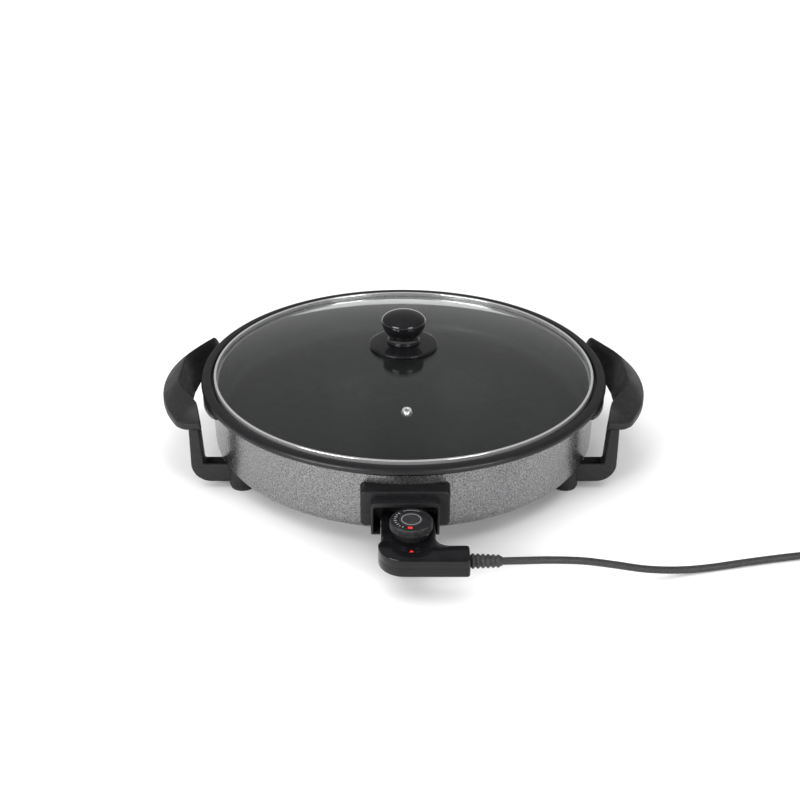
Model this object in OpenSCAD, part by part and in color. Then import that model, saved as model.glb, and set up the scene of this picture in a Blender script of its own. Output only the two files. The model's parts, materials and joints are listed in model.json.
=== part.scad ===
// Round electric griddle pan with a glass lid and a plug-in thermostat.
// The pan stands on the feet of its two side handles. The lid lifts straight up, the thermostat
// pulls straight out of the socket at the front, and the dial turns on top of the thermostat.
// Every sub-part is drawn around the pan's own axis with z = 0 at the table; set_down() then puts
// the middle of the whole outline on the origin.

/* [Pan] */
// Outer radius of the pan's rim
rim_r = 213.4; // [205:0.2:222]
// Height of the rim's top above the table
rim_top = 94.6; // [90:0.2:100]
// Outer radius of the pan's side wall
wall_r = 202; // [199:0.5:204]
// Height of the pan's lowest edge above the table
pan_bottom = 18; // [16:0.5:20]
// Height of the cooking surface above the table
floor_top = 46; // [45:0.5:52]
// Thickness of the cooking plate
floor_t = 3.5; // [3:0.5:5]

/* [Lid] */
// Outer radius of the lid's steel ring
lid_r = 200; // [196:0.5:202]
// Height of the ring's top edge above the table
lid_top = 96; // [94:0.2:99]
// Rise of the glass dome over its own edge
dome_rise = 30; // [20:1:40]
// Thickness of the glass
glass_t = 4; // [3:0.5:5]
// Radius of the lid knob
knob_r = 23.2; // [18:0.2:28]

/* [Handles] */
// Half the length of a grip, along Y
grip_half = 94; // [88:1:96]
// Furthest reach of a grip from the pan's axis
grip_out = 255; // [250:1:260]
// Distance of the legs' middle from the X axis
leg_y = 83.5; // [78:0.5:85]
// Radius of a foot
foot_r = 13.5; // [11:0.5:15]

/* [Thermostat] */
// Height of the thermostat's top face
ctl_top = 48; // [46:0.5:52]
// Thickness of the thermostat's body
ctl_h = 18.8; // [17:0.2:20]
// Distance of the thermostat's front face from the pan's axis
ctl_front = 290.5; // [285:0.5:300]
// Radius of the dial
dial_r = 19.6; // [17:0.2:22]
// Diameter of the mains cord
cord_d = 7; // [6:0.2:8]

/* [Hidden] */
$fn = 96;
eps = 0.01;
gap = 0.3;

// Colours of the materials
hammered_grey = [0.45, 0.45, 0.46];
black_plastic = [0.10, 0.10, 0.11];
steel = [0.75, 0.76, 0.77];
brass = [0.80, 0.65, 0.30];
ceramic = [0.92, 0.91, 0.87];
rubber_black = [0.13, 0.13, 0.14];
pilot_red = [0.85, 0.10, 0.08];
glass_grey = [0.75, 0.82, 0.82, 0.4];

// The outline runs from the rim's back edge to the thermostat's front face
axis_y = (ctl_front - rim_r) / 2;

// Pan
floor_bottom = floor_top - floor_t;
inner_r = 198.2;
ledge_r = 203.2;
ledge_z = lid_top - 10.2;
skirt_t = 3;
skirt_edge_at = 190;
skirt_edge_r = 11.5;
lip_in_r = 172.4;
plate_r = 175;
plate_t = 1.2;
corner_r = 12;
foot_x = 166.5;
foot_y = 85;
post_r = 8.5;
plate_post_r = 5;
plate_post_at = 150;
plate_screw_r = 1.5;
plate_vent_at = 70;
plate_vent_r = 4;
foot_screw_r = 2.1;
foot_screw_head_r = 4.2;
foot_recess_r = 4.6;
pad_t = 2;
lug_half_angle = 27;
lug_low = 64.2;
lug_r = 212.4;
lug_arc_r = 271;

// Legs of the handles, with the straps that carry the feet under the pan
leg_in = 205;
leg_in_mid = 207;
leg_in_top = 208.5;
leg_out = 218;
leg_deep = 17;
strap_low = 8;
strap_high = 28.5;
heel = 20;

// Heating element under the cooking plate
ring_r = 120;
tube_r = 4;
tube_z = floor_bottom - tube_r - 0.5;
insulator_r = 3.4;
rib_t = 2.5;
lead_x = 15;
lead_bend = 15;
lead_end = 192;

// Socket at the front of the pan
pin_r = 2.5;
pin_tip = 221;
probe_r = 2.5;
guide_bore_r = 2.8;
guide_r = 3.6;
bezel_half = 42;
bezel_front = 213;
bezel_low = 33;
bezel_high = 72.3;
shroud_half = 32;
shroud_front = 225;
shroud_low = 31;
shroud_high = 65.3;
shroud_t = 2.5;
slot_gap = 0.6;
slot_back = 204;

// Screws that hold the socket housing to the pan, from inside the skirt
socket_screw_x = 33;
socket_screw_z = 36;
socket_screw_y = -193.7;
socket_screw_r = 1.4;
socket_bore_r = 1.45;

// Thermostat body
ctl_bottom = ctl_top - ctl_h;
ctl_mid = ctl_top - ctl_h / 2;
shell_t = 2;
stem_left = -22.5;
stem_right = 27.5;
stem_back = 210;
arm_left = -25;
arm_right = 57.3;
arm_back = 265.8;
arm_y = -(ctl_front + arm_back) / 2;
nose_r = 26;
crook_r = 12;
dial_x = 5;
dial_y = -251.2;
spindle_r = 3;
dial_h = 18;
lamp_y = -276.8;
lens_r = 2.4;
lens_opening_r = 2.5;

// Cord: the free stretch, the coil and the tail up to the plug
cord_r = cord_d / 2;
relief_len = 29;
exit_x = arm_right + relief_len;
run_points = [
    [exit_x, arm_y, ctl_mid], [105, -278, 39], [130, -275, 37.5], [160, -268.5, 32],
    [190, -261.5, 23], [220, -254, 13], [250, -246.5, 6.5], [280, -239.5, 3.8],
    [320, -230, 3.6], [360, -221.5, 3.6], [400, -215, 3.6], [430, -212.5, 3.6]
];
coil_x = 446;
coil_y = -170;
coil_mid_r = 38.5;
coil_half_w = 8;
coil_h = 14;
tail_points = [
    [484.5, -166, 10.5], [484.5, -150, 11.5], [484.5, -135, 15], [484.5, -122, 18],
    [484.5, -112, 19]
];
plug_x = 484.5;
plug_y = -112;
plug_z = 19;
plug_r = 18.5;
plug_front = 47;
plug_pin_r = 2.4;
plug_pin_len = 19;
plug_pin_pitch = 19;

// ---- helpers ----
module set_down() translate([0, axis_y, 0]) children();

module four_corners()
    for (sx = [-1, 1], sy = [-1, 1]) translate([sx * foot_x, sy * foot_y, 0]) children();

function smooth(t) = let (c = min(max(t, 0), 1)) c * c * (3 - 2 * c);
function mix(a, b, t) = a + (b - a) * t;
function arc(cx, cy, r, a0, a1, n) = [
    for (i = [0 : n]) let (a = mix(a0, a1, i / n)) [cx + r * cos(a), cy + r * sin(a)]
];
function unit(v) = v / norm(v);

// Rings of points carried along a path, for a tube
function path_dir(p, i) = unit(p[min(i + 1, len(p) - 1)] - p[max(i - 1, 0)]);
function tube_ring(p, i, r, n) =
    let (d = path_dir(p, i), s = unit(cross(d, [0, 0, 1])), u = cross(s, d))
    [for (k = [0 : n - 1]) p[i] + r * (cos(360 * (k + 0.5) / n) * s + sin(360 * (k + 0.5) / n) * u)];

// Catmull-Rom curve through a route's points
function spline_point(a, b, c, d, t) =
    0.5 * (2 * b + (c - a) * t + (2 * a - 5 * b + 4 * c - d) * t * t + (3 * b - 3 * c + d - a) * t * t * t);
function spline(p, n) = [
    for (i = [0 : len(p) - 2], k = [0 : n - 1])
        spline_point(p[max(i - 1, 0)], p[i], p[i + 1], p[min(i + 2, len(p) - 1)], k / n),
    p[len(p) - 1]
];

// A closed skin over equal rings of points, capped at both ends
module skin(rings) {
    n = len(rings[0]);
    m = len(rings);
    points = [for (r = rings) each r];
    sides = [
        for (i = [0 : m - 2], k = [0 : n - 1])
            [i * n + k, (i + 1) * n + k, (i + 1) * n + (k + 1) % n, i * n + (k + 1) % n]
    ];
    polyhedron(
        points = points,
        faces = concat(sides, [[for (k = [0 : n - 1]) k]], [[for (k = [n - 1 : -1 : 0]) (m - 1) * n + k]]),
        convexity = 6
    );
}

module tube_along(p, r, n) skin([for (i = [0 : len(p) - 1]) tube_ring(p, i, r, n)]);

module screw(head_r, head_h, shank_r, shank_len) {
    cylinder(r = head_r, h = head_h);
    translate([0, 0, head_h - eps]) cylinder(r = shank_r, h = shank_len);
}

// ---- pan ----
// Outline of the pan's skirt and wall, grown or shrunk by a margin
module pan_envelope(m) {
    rotate_extrude($fn = 180) polygon(concat(
        [[0, pan_bottom], [skirt_edge_at, pan_bottom]],
        arc(skirt_edge_at, pan_bottom + skirt_edge_r, skirt_edge_r + m, -90, 0, 8),
        [[wall_r + m, 60], [0, 60]]
    ));
}

// Half section of the casting: rim, ledge for the lid, wall, cooking plate and skirt
module pan_section() {
    low = pan_bottom;
    polygon(concat(
        [[0, floor_bottom], [wall_r - skirt_t - 6, floor_bottom]],
        [[wall_r - skirt_t, floor_bottom - 4], [wall_r - skirt_t, low + 14]],
        arc(wall_r - skirt_t - 10, low + 14, 10, 0, -90, 6),
        [[lip_in_r, low + 4], [lip_in_r, low + plate_t + 0.2], [plate_r + 0.4, low + plate_t + 0.2]],
        [[plate_r + 0.4, low]],
        arc(skirt_edge_at, low + skirt_edge_r, skirt_edge_r, -90, 0, 8),
        [[wall_r, low + 40], [wall_r, rim_top - 14]],
        [[wall_r + 1.5, rim_top - 12.2], [wall_r + 5.5, rim_top - 8.3], [rim_r - 0.9, rim_top - 5.8]],
        [[rim_r, rim_top - 5]],
        arc(rim_r - 4, rim_top - 4, 4, 0, 90, 8),
        [[ledge_r + 1.2, rim_top]],
        arc(ledge_r + 1.2, rim_top - 1.2, 1.2, 90, 180, 4),
        [[ledge_r, ledge_z], [inner_r, ledge_z], [inner_r - 1, floor_top + corner_r]],
        arc(inner_r - 1 - corner_r, floor_top + corner_r, corner_r, 0, -90, 8),
        [[0, floor_top]]
    ));
}

// A lug that hangs below the rim beside a handle, with an arched lower edge
module rim_lug() {
    intersection() {
        rotate([0, 0, -lug_half_angle])
            rotate_extrude(angle = 2 * lug_half_angle)
                polygon([
                    [wall_r - 1, lug_low - 1], [lug_r, lug_low - 1], [lug_r, rim_top - 5.2],
                    [wall_r - 1, rim_top - 9]
                ]);
        translate([wall_r - 60, 0, lug_low + lug_arc_r])
            rotate([0, 90, 0]) cylinder(r = lug_arc_r, h = 80, $fn = 180);
    }
}

// Two low ribs hold the element's ring, and a boss takes the probe's guide
module element_ribs() {
    difference() {
        for (r = [ring_r - tube_r - rib_t - 0.1, ring_r + tube_r + 0.1])
            rotate_extrude()
                translate([r, tube_z - 2]) square([rib_t, floor_bottom - tube_z + 2 + eps]);
        translate([-30, -ring_r - 20, tube_z - 5]) cube([60, 40, floor_bottom - tube_z + 5]);
    }
    translate([-7, -lead_end + 4, tube_z - 5.5])
        cube([14, 46, floor_bottom - tube_z + 5.5 + eps]);
}

// Middle line of the sheathed tube: a broken ring whose two ends bend towards the socket
function bend_arc(side) =
    let (
        bend_x = lead_x + lead_bend,
        bend_y = -sqrt(pow(ring_r + lead_bend, 2) - bend_x * bend_x),
        start = asin(bend_x / (ring_r + lead_bend))
    )
    [for (p = arc(bend_x, bend_y, lead_bend, 180, 90 + start, 5)) [side * p[0], p[1], tube_z]];
function ring_arc() =
    let (start = asin((lead_x + lead_bend) / (ring_r + lead_bend)))
    [for (p = arc(0, 0, ring_r, -90 + start, 270 - start, 60)) [p[0], p[1], tube_z]];
function reversed(v) = [for (i = [len(v) - 1 : -1 : 0]) v[i]];
function inner_part(v) = [for (i = [1 : len(v) - 2]) v[i]];
function element_line() = concat(
    [[lead_x, -lead_end, tube_z], [lead_x, -lead_end + 30, tube_z]], bend_arc(1),
    inner_part(ring_arc()), reversed(bend_arc(-1)),
    [[-lead_x, -lead_end + 30, tube_z], [-lead_x, -lead_end, tube_z]]
);

// Bores for the two socket screws, from a start on Y towards the front
module socket_bores(start_y, depth) {
    for (sx = [-1, 1])
        translate([sx * socket_screw_x, start_y, socket_screw_z])
            rotate([90, 0, 0]) cylinder(r = socket_bore_r, h = depth);
}

module socket_window() {
    translate([-24, -wall_r - 10, bezel_low - 0.5])
        cube([48, 30, floor_bottom - bezel_low + 0.3]);
}

module pan_body() color(hammered_grey) {
    difference() {
        union() {
            rotate_extrude($fn = 180) pan_section();
            rim_lug();
            rotate([0, 0, 180]) rim_lug();
            element_ribs();
            intersection() {
                four_corners() translate([0, 0, pan_bottom])
                    cylinder(r = post_r, h = floor_bottom - pan_bottom + 1);
                pan_envelope(-0.5);
            }
            for (a = [45 : 90 : 315])
                rotate([0, 0, a]) translate([plate_post_at, 0, pan_bottom + plate_t + 0.2])
                    cylinder(r = plate_post_r, h = floor_bottom - pan_bottom - plate_t);
        }
        translate([0, -lead_end + 60, tube_z]) rotate([90, 0, 0]) cylinder(r = guide_r + 0.05, h = 80);
        four_corners() translate([0, 0, pan_bottom - 1]) cylinder(r = foot_screw_r + 0.05, h = 17);
        for (a = [45 : 90 : 315])
            rotate([0, 0, a]) translate([plate_post_at, 0, pan_bottom])
                cylinder(r = plate_screw_r + 0.05, h = 13);
        socket_window();
        socket_bores(-wall_r + 12, 20);
    }
}

module base_plate() color(steel) difference() {
    translate([0, 0, pan_bottom]) cylinder(r = plate_r, h = plate_t, $fn = 180);
    for (a = [45 : 90 : 315])
        rotate([0, 0, a]) translate([plate_post_at, 0, pan_bottom - 1])
            cylinder(r = plate_screw_r + 0.2, h = 4);
    for (a = [0 : 30 : 330])
        rotate([0, 0, a]) translate([plate_vent_at, 0, pan_bottom - 1])
            cylinder(r = plate_vent_r, h = 4, $fn = 32);
}

module base_plate_screws() color(steel)
    for (a = [45 : 90 : 315])
        rotate([0, 0, a]) translate([plate_post_at, 0, pan_bottom - 1.8])
            screw(3.2, 1.8, plate_screw_r, 12);

module heating_element() color(steel) tube_along(element_line(), tube_r, 10);

module terminal_insulators() color(ceramic)
    for (sx = [-1, 1])
        translate([sx * lead_x, -lead_end, tube_z]) rotate([90, 0, 0]) difference() {
            cylinder(r = insulator_r, h = 11);
            translate([0, 0, -1]) cylinder(r = pin_r, h = 13);
        }

module terminal_pins() color(steel)
    for (sx = [-1, 1])
        translate([sx * lead_x, -lead_end, tube_z]) rotate([90, 0, 0]) {
            cylinder(r = pin_r, h = pin_tip - lead_end - 2);
            translate([0, 0, pin_tip - lead_end - 2 - eps])
                rotate_extrude() polygon([[0, 0], [pin_r, 0], [1.4, 2], [0, 2]]);
        }

module probe_guide() color(steel)
    translate([0, -wall_r, tube_z]) rotate([-90, 0, 0]) difference() {
        cylinder(r = guide_r, h = 60);
        translate([0, 0, -1]) cylinder(r = guide_bore_r, h = 59);
    }

// ---- socket housing ----
module bezel_block() {
    back = wall_r - 3;
    hull() {
        for (sx = [-1, 1], z = [bezel_low + 5, bezel_high - 5])
            translate([sx * (bezel_half - 5), -bezel_front + 3, z])
                rotate([90, 0, 0]) cylinder(r = 5, h = 3, $fn = 32);
        for (sx = [-1, 1], z = [bezel_low + 5, bezel_high - 1])
            translate([sx * (bezel_half - 4.5), -back + 12, z])
                rotate([90, 0, 0]) cylinder(r = 5, h = 1, $fn = 32);
    }
}

module shroud_block(half, low, high, r) {
    translate([0, -shroud_front, 0]) rotate([-90, 0, 0])
        linear_extrude(height = shroud_front - bezel_front + 6)
            polygon(concat(
                [[half, -low]],
                arc(half - r, -high + r, r, 0, -90, 6),
                arc(-half + r, -high + r, r, -90, -180, 6),
                [[-half, -low]]
            ));
}

module socket_housing() color(black_plastic) difference() {
    union() {
        difference() {
            bezel_block();
            cylinder(r = wall_r + 0.05, h = 100, $fn = 180);
        }
        shroud_block(shroud_half, shroud_low, shroud_high, 5);
        translate([-23.5, -wall_r - 1, bezel_low]) cube([47, 4, floor_bottom - bezel_low - 0.6]);
    }
    for (dy = [-eps, 3])
        translate([0, dy, 0])
            shroud_block(shroud_half - shroud_t, shroud_low + shroud_t, shroud_high - 4.3, 3);
    translate([stem_left - slot_gap, -shroud_front - 1, shroud_low - 1])
        cube([stem_right - stem_left + 2 * slot_gap, shroud_front + 1 - slot_back, 5]);
    for (sx = [-1, 1])
        translate([sx * lead_x, -wall_r + 6, tube_z]) rotate([90, 0, 0])
            cylinder(r = insulator_r + 0.1, h = 14);
    translate([0, -wall_r + 6, tube_z]) rotate([90, 0, 0]) cylinder(r = guide_r + 0.1, h = 14);
    socket_bores(-wall_r + 6, 14.5);
}

module socket_screws() color(steel)
    for (sx = [-1, 1])
        translate([sx * socket_screw_x, socket_screw_y, socket_screw_z])
            rotate([90, 0, 0]) screw(2.6, 2, socket_screw_r, 12);

// ---- handles ----
// A grip's ridge runs beside the rim, bows outwards at the middle and rounds down at its ends
ridge_end_x = 205;
ridge_mid_x = 234.5;
ridge_end_z = 76.5;
ridge_mid_z = 93.2;
ridge_round = 18;
bulge_run = 72;
lip_arc_r = 165;
lip_corner_r = 10;
lip_top = 76.5;
lip_low = 69.5;
shield_low = 48;
function bulge(y) = smooth((grip_half + 1 - abs(y)) / bulge_run);
function ridge_x(y) = mix(ridge_end_x, ridge_mid_x, bulge(y));
function ridge_z(y) = mix(ridge_end_z, ridge_mid_z, smooth((grip_half - abs(y)) / ridge_round));
function lip_x(y) = grip_out - lip_arc_r + sqrt(lip_arc_r * lip_arc_r - y * y);
function corner_cut(y) =
    let (d = max(abs(y) - grip_half + lip_corner_r, 0))
    lip_corner_r - sqrt(lip_corner_r * lip_corner_r - min(d * d, lip_corner_r * lip_corner_r));
function outer_x(y) = lip_x(y) - corner_cut(y);
function hollow(y) = smooth((82 - abs(y)) / 14);
function lean(y) = mix(1, 7, smooth((85 - abs(y)) / 70));

// Section of a grip at one place along its length: ridge, sloping top, outer lip, finger
// hollow and the heat shield that hangs from the ridge
function grip_section(y) =
    let (
        xr = ridge_x(y), zr = ridge_z(y), xo = outer_x(y), xi = xr - lean(y), h = hollow(y),
        zb = mix(lip_low, mix(lip_low, shield_low, smooth((80 - abs(y)) / 50)), h)
    )
    [
        [xr, y, zr], [xr + 1.6, y, zr + 0.5], [mix(xr, xo, 0.55), y, mix(zr, lip_top, 0.5) + 0.6],
        [xo - 1, y, lip_top + 0.3], [xo, y, lip_top - 1], [xo - 0.4, y, lip_low],
        [xo - 3.6, y, lip_low], [xo - 4.4, y, mix(lip_low, lip_top - 4, h)],
        [xr + 4.5, y, mix(lip_low, zr - 6, h)], [xi + 3.6, y, zb], [xi, y, zb], [xr - 0.6, y, zr - 1]
    ];

module grip() {
    n = 36;
    skin([for (i = [0 : n]) grip_section(grip_half * sin(mix(-90, 90, i / n)))]);
}

// One leg with its strap, drawn as a side view and given its depth along Y
module leg() {
    rotate([90, 0, 0])
        translate([0, 0, -leg_deep / 2])
            linear_extrude(height = leg_deep)
                polygon(concat(
                    [[foot_x, strap_low]],
                    arc(leg_out - heel, strap_low + heel, heel, -90, 0, 8),
                    [[leg_out - 0.3, lip_low + 1], [leg_in_top, lip_low + 1], [leg_in_mid, 62]],
                    [[leg_in, strap_high], [foot_x, strap_high]]
                ));
}

module handle_right() color(black_plastic) {
    grip();
    for (sy = [-1, 1]) difference() {
        union() {
            translate([0, sy * leg_y, 0]) leg();
            translate([foot_x, sy * foot_y, pad_t]) cylinder(r = foot_r, h = strap_high - pad_t);
        }
        pan_envelope(0.2);
        translate([foot_x, sy * foot_y, 0]) {
            cylinder(r = foot_screw_r + 0.1, h = 30);
            cylinder(r = foot_recess_r, h = 9);
        }
    }
}

module handle_left() mirror([1, 0, 0]) handle_right();

module handle_screws() color(steel)
    four_corners() translate([0, 0, 6]) screw(foot_screw_head_r, 3, foot_screw_r, 22);

module foot_pads() color(rubber_black)
    four_corners() difference() {
        cylinder(r = foot_r - 1.2, h = pad_t);
        translate([0, 0, -1]) cylinder(r = foot_recess_r, h = 4);
    }

// ---- lid ----
edge_z = ledge_z + 1.2;
glass_edge_r = lid_r - 1;
dome_r = (glass_edge_r * glass_edge_r + dome_rise * dome_rise) / (2 * dome_rise);
dome_cz = edge_z + dome_rise - dome_r;
disc_z = edge_z + dome_rise + glass_t + 0.1;
vent_at = 125;
vent_angle = 1;
vent_bore_r = 3.6;
stud_bore_r = 3.2;
stud_clear_r = 2.6;
knob_screw_r = 2;
knob_z = disc_z + 3.4;
collar_r = 16;
waist_r = 15.3;
function dome_z(r) = dome_cz + sqrt(dome_r * dome_r - r * r);

module lid_glass() color(glass_grey) {
    n = 24;
    difference() {
        rotate_extrude($fn = 180)
            polygon(concat(
                [for (i = [0 : n]) let (r = glass_edge_r * i / n) [r, dome_z(r)]],
                [for (i = [n : -1 : 0]) let (r = glass_edge_r * i / n) [r, dome_z(r) + glass_t]]
            ));
        translate([0, 0, disc_z - 20]) cylinder(r = stud_bore_r, h = 30);
        vent_place() translate([0, 0, -10]) cylinder(r = vent_bore_r, h = 20);
    }
}

module vent_place() {
    tilt = asin(vent_at / dome_r);
    rotate([0, 0, vent_angle])
        translate([0, -vent_at, dome_z(vent_at)])
            rotate([tilt, 0, 0]) children();
}

module lid_ring() color(steel)
    rotate_extrude($fn = 180)
        polygon([
            [lid_r - 5.5, ledge_z + 0.2], [lid_r - 0.4, ledge_z + 0.2], [lid_r, ledge_z + 0.6],
            [lid_r, lid_top - 0.6], [lid_r - 0.6, lid_top], [lid_r - 2, lid_top],
            [lid_r - 2.6, lid_top - 0.6], [lid_r - 2.6, edge_z + glass_t + 0.7],
            [lid_r - 0.9, edge_z + glass_t + 0.4], [lid_r - 0.9, edge_z - 0.1], [lid_r - 5.5, edge_z - 0.2]
        ]);

module steam_vent() color(steel)
    vent_place() rotate_extrude($fn = 48)
        polygon([
            [2, -1.4], [5.6, -1.4], [5.6, -0.2], [3.5, -0.2], [3.5, glass_t + 0.2], [4.8, glass_t + 0.2],
            [4.4, glass_t + 1.2], [2, glass_t + 1.2]
        ]);

module knob_base() color(black_plastic)
    difference() {
        translate([0, 0, disc_z])
            rotate_extrude()
                polygon(concat(
                    [[0, 0.1], [30, -0.5], [35.2, -0.8]],
                    arc(34.4, 0.7, 1.6, -45, 80, 4),
                    [[24, 2.9], [15, 3.3], [0, 3.3]]
                ));
        cylinder(r = stud_clear_r, h = 200);
    }

// Mushroom knob: beaded collar, waist, flaring neck and a domed cap
module lid_knob() color(black_plastic)
    difference() {
        translate([0, 0, knob_z])
            rotate_extrude()
                polygon(concat(
                    [[0, 0]],
                    arc(collar_r, 1.1, 1.1, -90, 90, 6),
                    [[collar_r - 0.2, 3], [waist_r, 6.6], [16.4, 9], [18.6, 11.8], [20.9, 15]],
                    [[knob_r - 0.6, 19.2]],
                    [for (i = [0 : 10]) let (a = 9 * i) [knob_r * cos(a), 23.5 + 10 * sin(a)]]
                ));
        cylinder(r = knob_screw_r + 0.05, h = knob_z + 22);
    }

module knob_washer() color(steel)
    translate([0, 0, disc_z - glass_t - 2.2]) difference() {
        cylinder(r = 9, h = 1.8);
        translate([0, 0, -1]) cylinder(r = stud_clear_r, h = 4);
    }

module knob_screw() color(steel)
    translate([0, 0, disc_z - glass_t - 4.7]) screw(5, 2.5, knob_screw_r, 30);

// ---- thermostat ----
// Plan of the body, shrunk by a margin all round: the stem that enters the shroud, the arm that
// carries the cord, a big round nose between them and a crook on the inner side
module ctl_plan(m) {
    polygon(concat(
        [[stem_left + m, -stem_back - m], [stem_left + m, -arm_back + 8]],
        [[arm_left + m, -arm_back + 2]],
        arc(arm_left + nose_r, -ctl_front + nose_r, nose_r - m, 180, 270, 10),
        arc(arm_right - 3, -ctl_front + 3, max(3 - m, 0.4), -90, 0, 3),
        arc(arm_right - 3, -arm_back - 3, max(3 - m, 0.4), 0, 90, 3),
        arc(stem_right + crook_r, -arm_back + crook_r, crook_r + m, 270, 180, 6),
        [[stem_right - m, -stem_back - m]]
    ));
}

module ctl_cavity(z0, z1) {
    translate([0, 0, z0]) linear_extrude(height = z1 - z0) ctl_plan(shell_t);
}

module ctl_openings() {
    for (sx = [-1, 1])
        translate([sx * lead_x, -stem_back + 1, tube_z]) rotate([90, 0, 0]) cylinder(r = 4, h = 6);
    translate([0, -stem_back + 1, tube_z]) rotate([90, 0, 0]) cylinder(r = 3.4, h = 6);
    translate([arm_right - 4, arm_y, ctl_mid]) rotate([0, 90, 0]) cylinder(r = 5, h = 8);
}

screw_places = [[-17, -262], [48, -285], [23, -222]];

module thermostat_upper_shell() color(black_plastic) difference() {
    union() {
        difference() {
            union() {
                translate([0, 0, ctl_mid])
                    linear_extrude(height = ctl_top - ctl_mid - 1) ctl_plan(0);
                translate([0, 0, ctl_top - 1 - eps]) linear_extrude(height = 1 + eps) ctl_plan(0.8);
            }
            ctl_cavity(ctl_mid - 1, ctl_top - shell_t);
        }
        for (p = screw_places)
            translate([p[0], p[1], ctl_mid]) cylinder(r = 3, h = ctl_top - ctl_mid - 1, $fn = 32);
    }
    ctl_openings();
    for (p = screw_places) translate([p[0], p[1], ctl_mid - 1]) cylinder(r = 1.25, h = 8, $fn = 32);
    translate([dial_x, dial_y, ctl_mid]) cylinder(r = spindle_r + 0.05, h = 20);
    translate([dial_x, lamp_y, ctl_top - 5]) rotate([0, 0, 90])
        cylinder(r = lens_opening_r, h = 10, $fn = 3);
}

module thermostat_lower_shell() color(black_plastic) difference() {
    union() {
        difference() {
            union() {
                translate([0, 0, ctl_bottom + 1])
                    linear_extrude(height = ctl_mid - ctl_bottom - 1) ctl_plan(0);
                translate([0, 0, ctl_bottom]) linear_extrude(height = 1 + eps) ctl_plan(0.8);
            }
            ctl_cavity(ctl_bottom + shell_t, ctl_mid + 1);
        }
        for (p = screw_places)
            translate([p[0], p[1], ctl_bottom + 1]) cylinder(r = 3, h = ctl_mid - ctl_bottom - 1, $fn = 32);
    }
    ctl_openings();
    for (p = screw_places) translate([p[0], p[1], ctl_bottom - 1]) {
        cylinder(r = 1.5, h = 20, $fn = 32);
        cylinder(r = 2.6, h = 3.5, $fn = 32);
    }
}

module shell_screws() color(steel)
    for (p = screw_places) translate([p[0], p[1], ctl_bottom + 0.6]) screw(2.4, 1.8, 1.2, 13);

probe_tip = 152;
module probe_rod() color(steel)
    translate([0, -240, tube_z]) rotate([-90, 0, 0]) {
        cylinder(r = probe_r, h = 240 - probe_tip - probe_r);
        translate([0, 0, 240 - probe_tip - probe_r]) sphere(r = probe_r);
    }

module probe_bracket() color(steel) difference() {
    translate([-8, -242, ctl_bottom + 2.5]) cube([16, 8, ctl_h - 5]);
    translate([0, -244, tube_z]) rotate([-90, 0, 0]) cylinder(r = probe_r, h = 12);
}

module contact_clips() color(brass)
    for (sx = [-1, 1])
        translate([sx * lead_x, -stem_back - 5.5, tube_z]) rotate([90, 0, 0]) difference() {
            cylinder(r = 3.8, h = 14);
            translate([0, 0, -1]) cylinder(r = pin_r + 0.08, h = 12);
        }

module contact_carrier() color(ceramic) difference() {
    translate([-20, -stem_back - 18, ctl_bottom + 2.2]) cube([39.4, 12, ctl_h - 5]);
    for (sx = [-1, 1])
        translate([sx * lead_x, -stem_back, tube_z]) rotate([90, 0, 0]) cylinder(r = 3.85, h = 24);
    translate([0, -stem_back, tube_z]) rotate([90, 0, 0]) cylinder(r = 3, h = 24);
}

module switch_block() color(ceramic) difference() {
    translate([dial_x - 10, dial_y - 7, ctl_bottom + 2.1]) cube([20, 14, 6.5]);
    translate([dial_x, dial_y, ctl_bottom]) cylinder(r = spindle_r + 0.1, h = 20);
}

module switch_blades() color(brass)
    for (k = [0, 1])
        translate([dial_x + 10.3 + 3 * k, dial_y - 6, ctl_bottom + 3 + 3 * k]) cube([1, 12, 5]);

module earth_spring() color(steel)
    translate([-20, -stem_back - 24.5, ctl_bottom + 2.2]) cube([8, 5, 1]);

module pilot_lamp() color([1, 0.6, 0.4])
    translate([dial_x + 11, lamp_y, ctl_mid - 3]) rotate([0, -90, 0]) cylinder(r = 2.2, h = 16);

module pilot_lens() color(pilot_red)
    translate([dial_x, lamp_y, ctl_top - 2.5]) rotate([0, 0, 90])
        cylinder(r = lens_r, h = 2.8, $fn = 3);

module cord_clamp() color(black_plastic)
    translate([arm_right - 20, arm_y - 7, ctl_bottom + 2.2]) difference() {
        cube([7, 14, 11]);
        translate([-1, 7, ctl_mid - ctl_bottom - 2.2]) rotate([0, 90, 0]) cylinder(r = cord_r, h = 9);
    }

// Ribbed sleeve that tapers away from the body
module strain_relief() color(rubber_black)
    translate([arm_right + 0.05, arm_y, ctl_mid]) rotate([0, 90, 0]) difference() {
        union() {
            translate([0, 0, -5]) cylinder(r = 4.9, h = 6);
            rotate_extrude() polygon([[0, 0], [5.9, 0], [4.9, relief_len - 0.1], [0, relief_len - 0.1]]);
            for (k = [0 : 5])
                translate([0, 0, 2.5 + 4.8 * k]) cylinder(r = 7.2 - 0.2 * k, h = 2.2);
        }
        translate([0, 0, -30]) cylinder(r = cord_r + 0.02, h = 80);
    }

// ---- cord ----
module cord_run() color(rubber_black)
    tube_along(concat([[arm_right - 24, arm_y, ctl_mid]], spline(run_points, 3)), cord_r, 10);

module cord_coil() color(rubber_black)
    translate([coil_x, coil_y, 0])
        rotate_extrude() polygon(concat(
            arc(coil_mid_r - coil_half_w + cord_r, cord_r + 0.05, cord_r, -90, -180, 4),
            arc(coil_mid_r, coil_h - cord_r, cord_r + 1, 150, 30, 4),
            arc(coil_mid_r + coil_half_w - cord_r, cord_r + 0.05, cord_r, 0, -90, 4)
        ));

module cord_tail() color(rubber_black) tube_along(spline(tail_points, 3), cord_r, 10);

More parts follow.
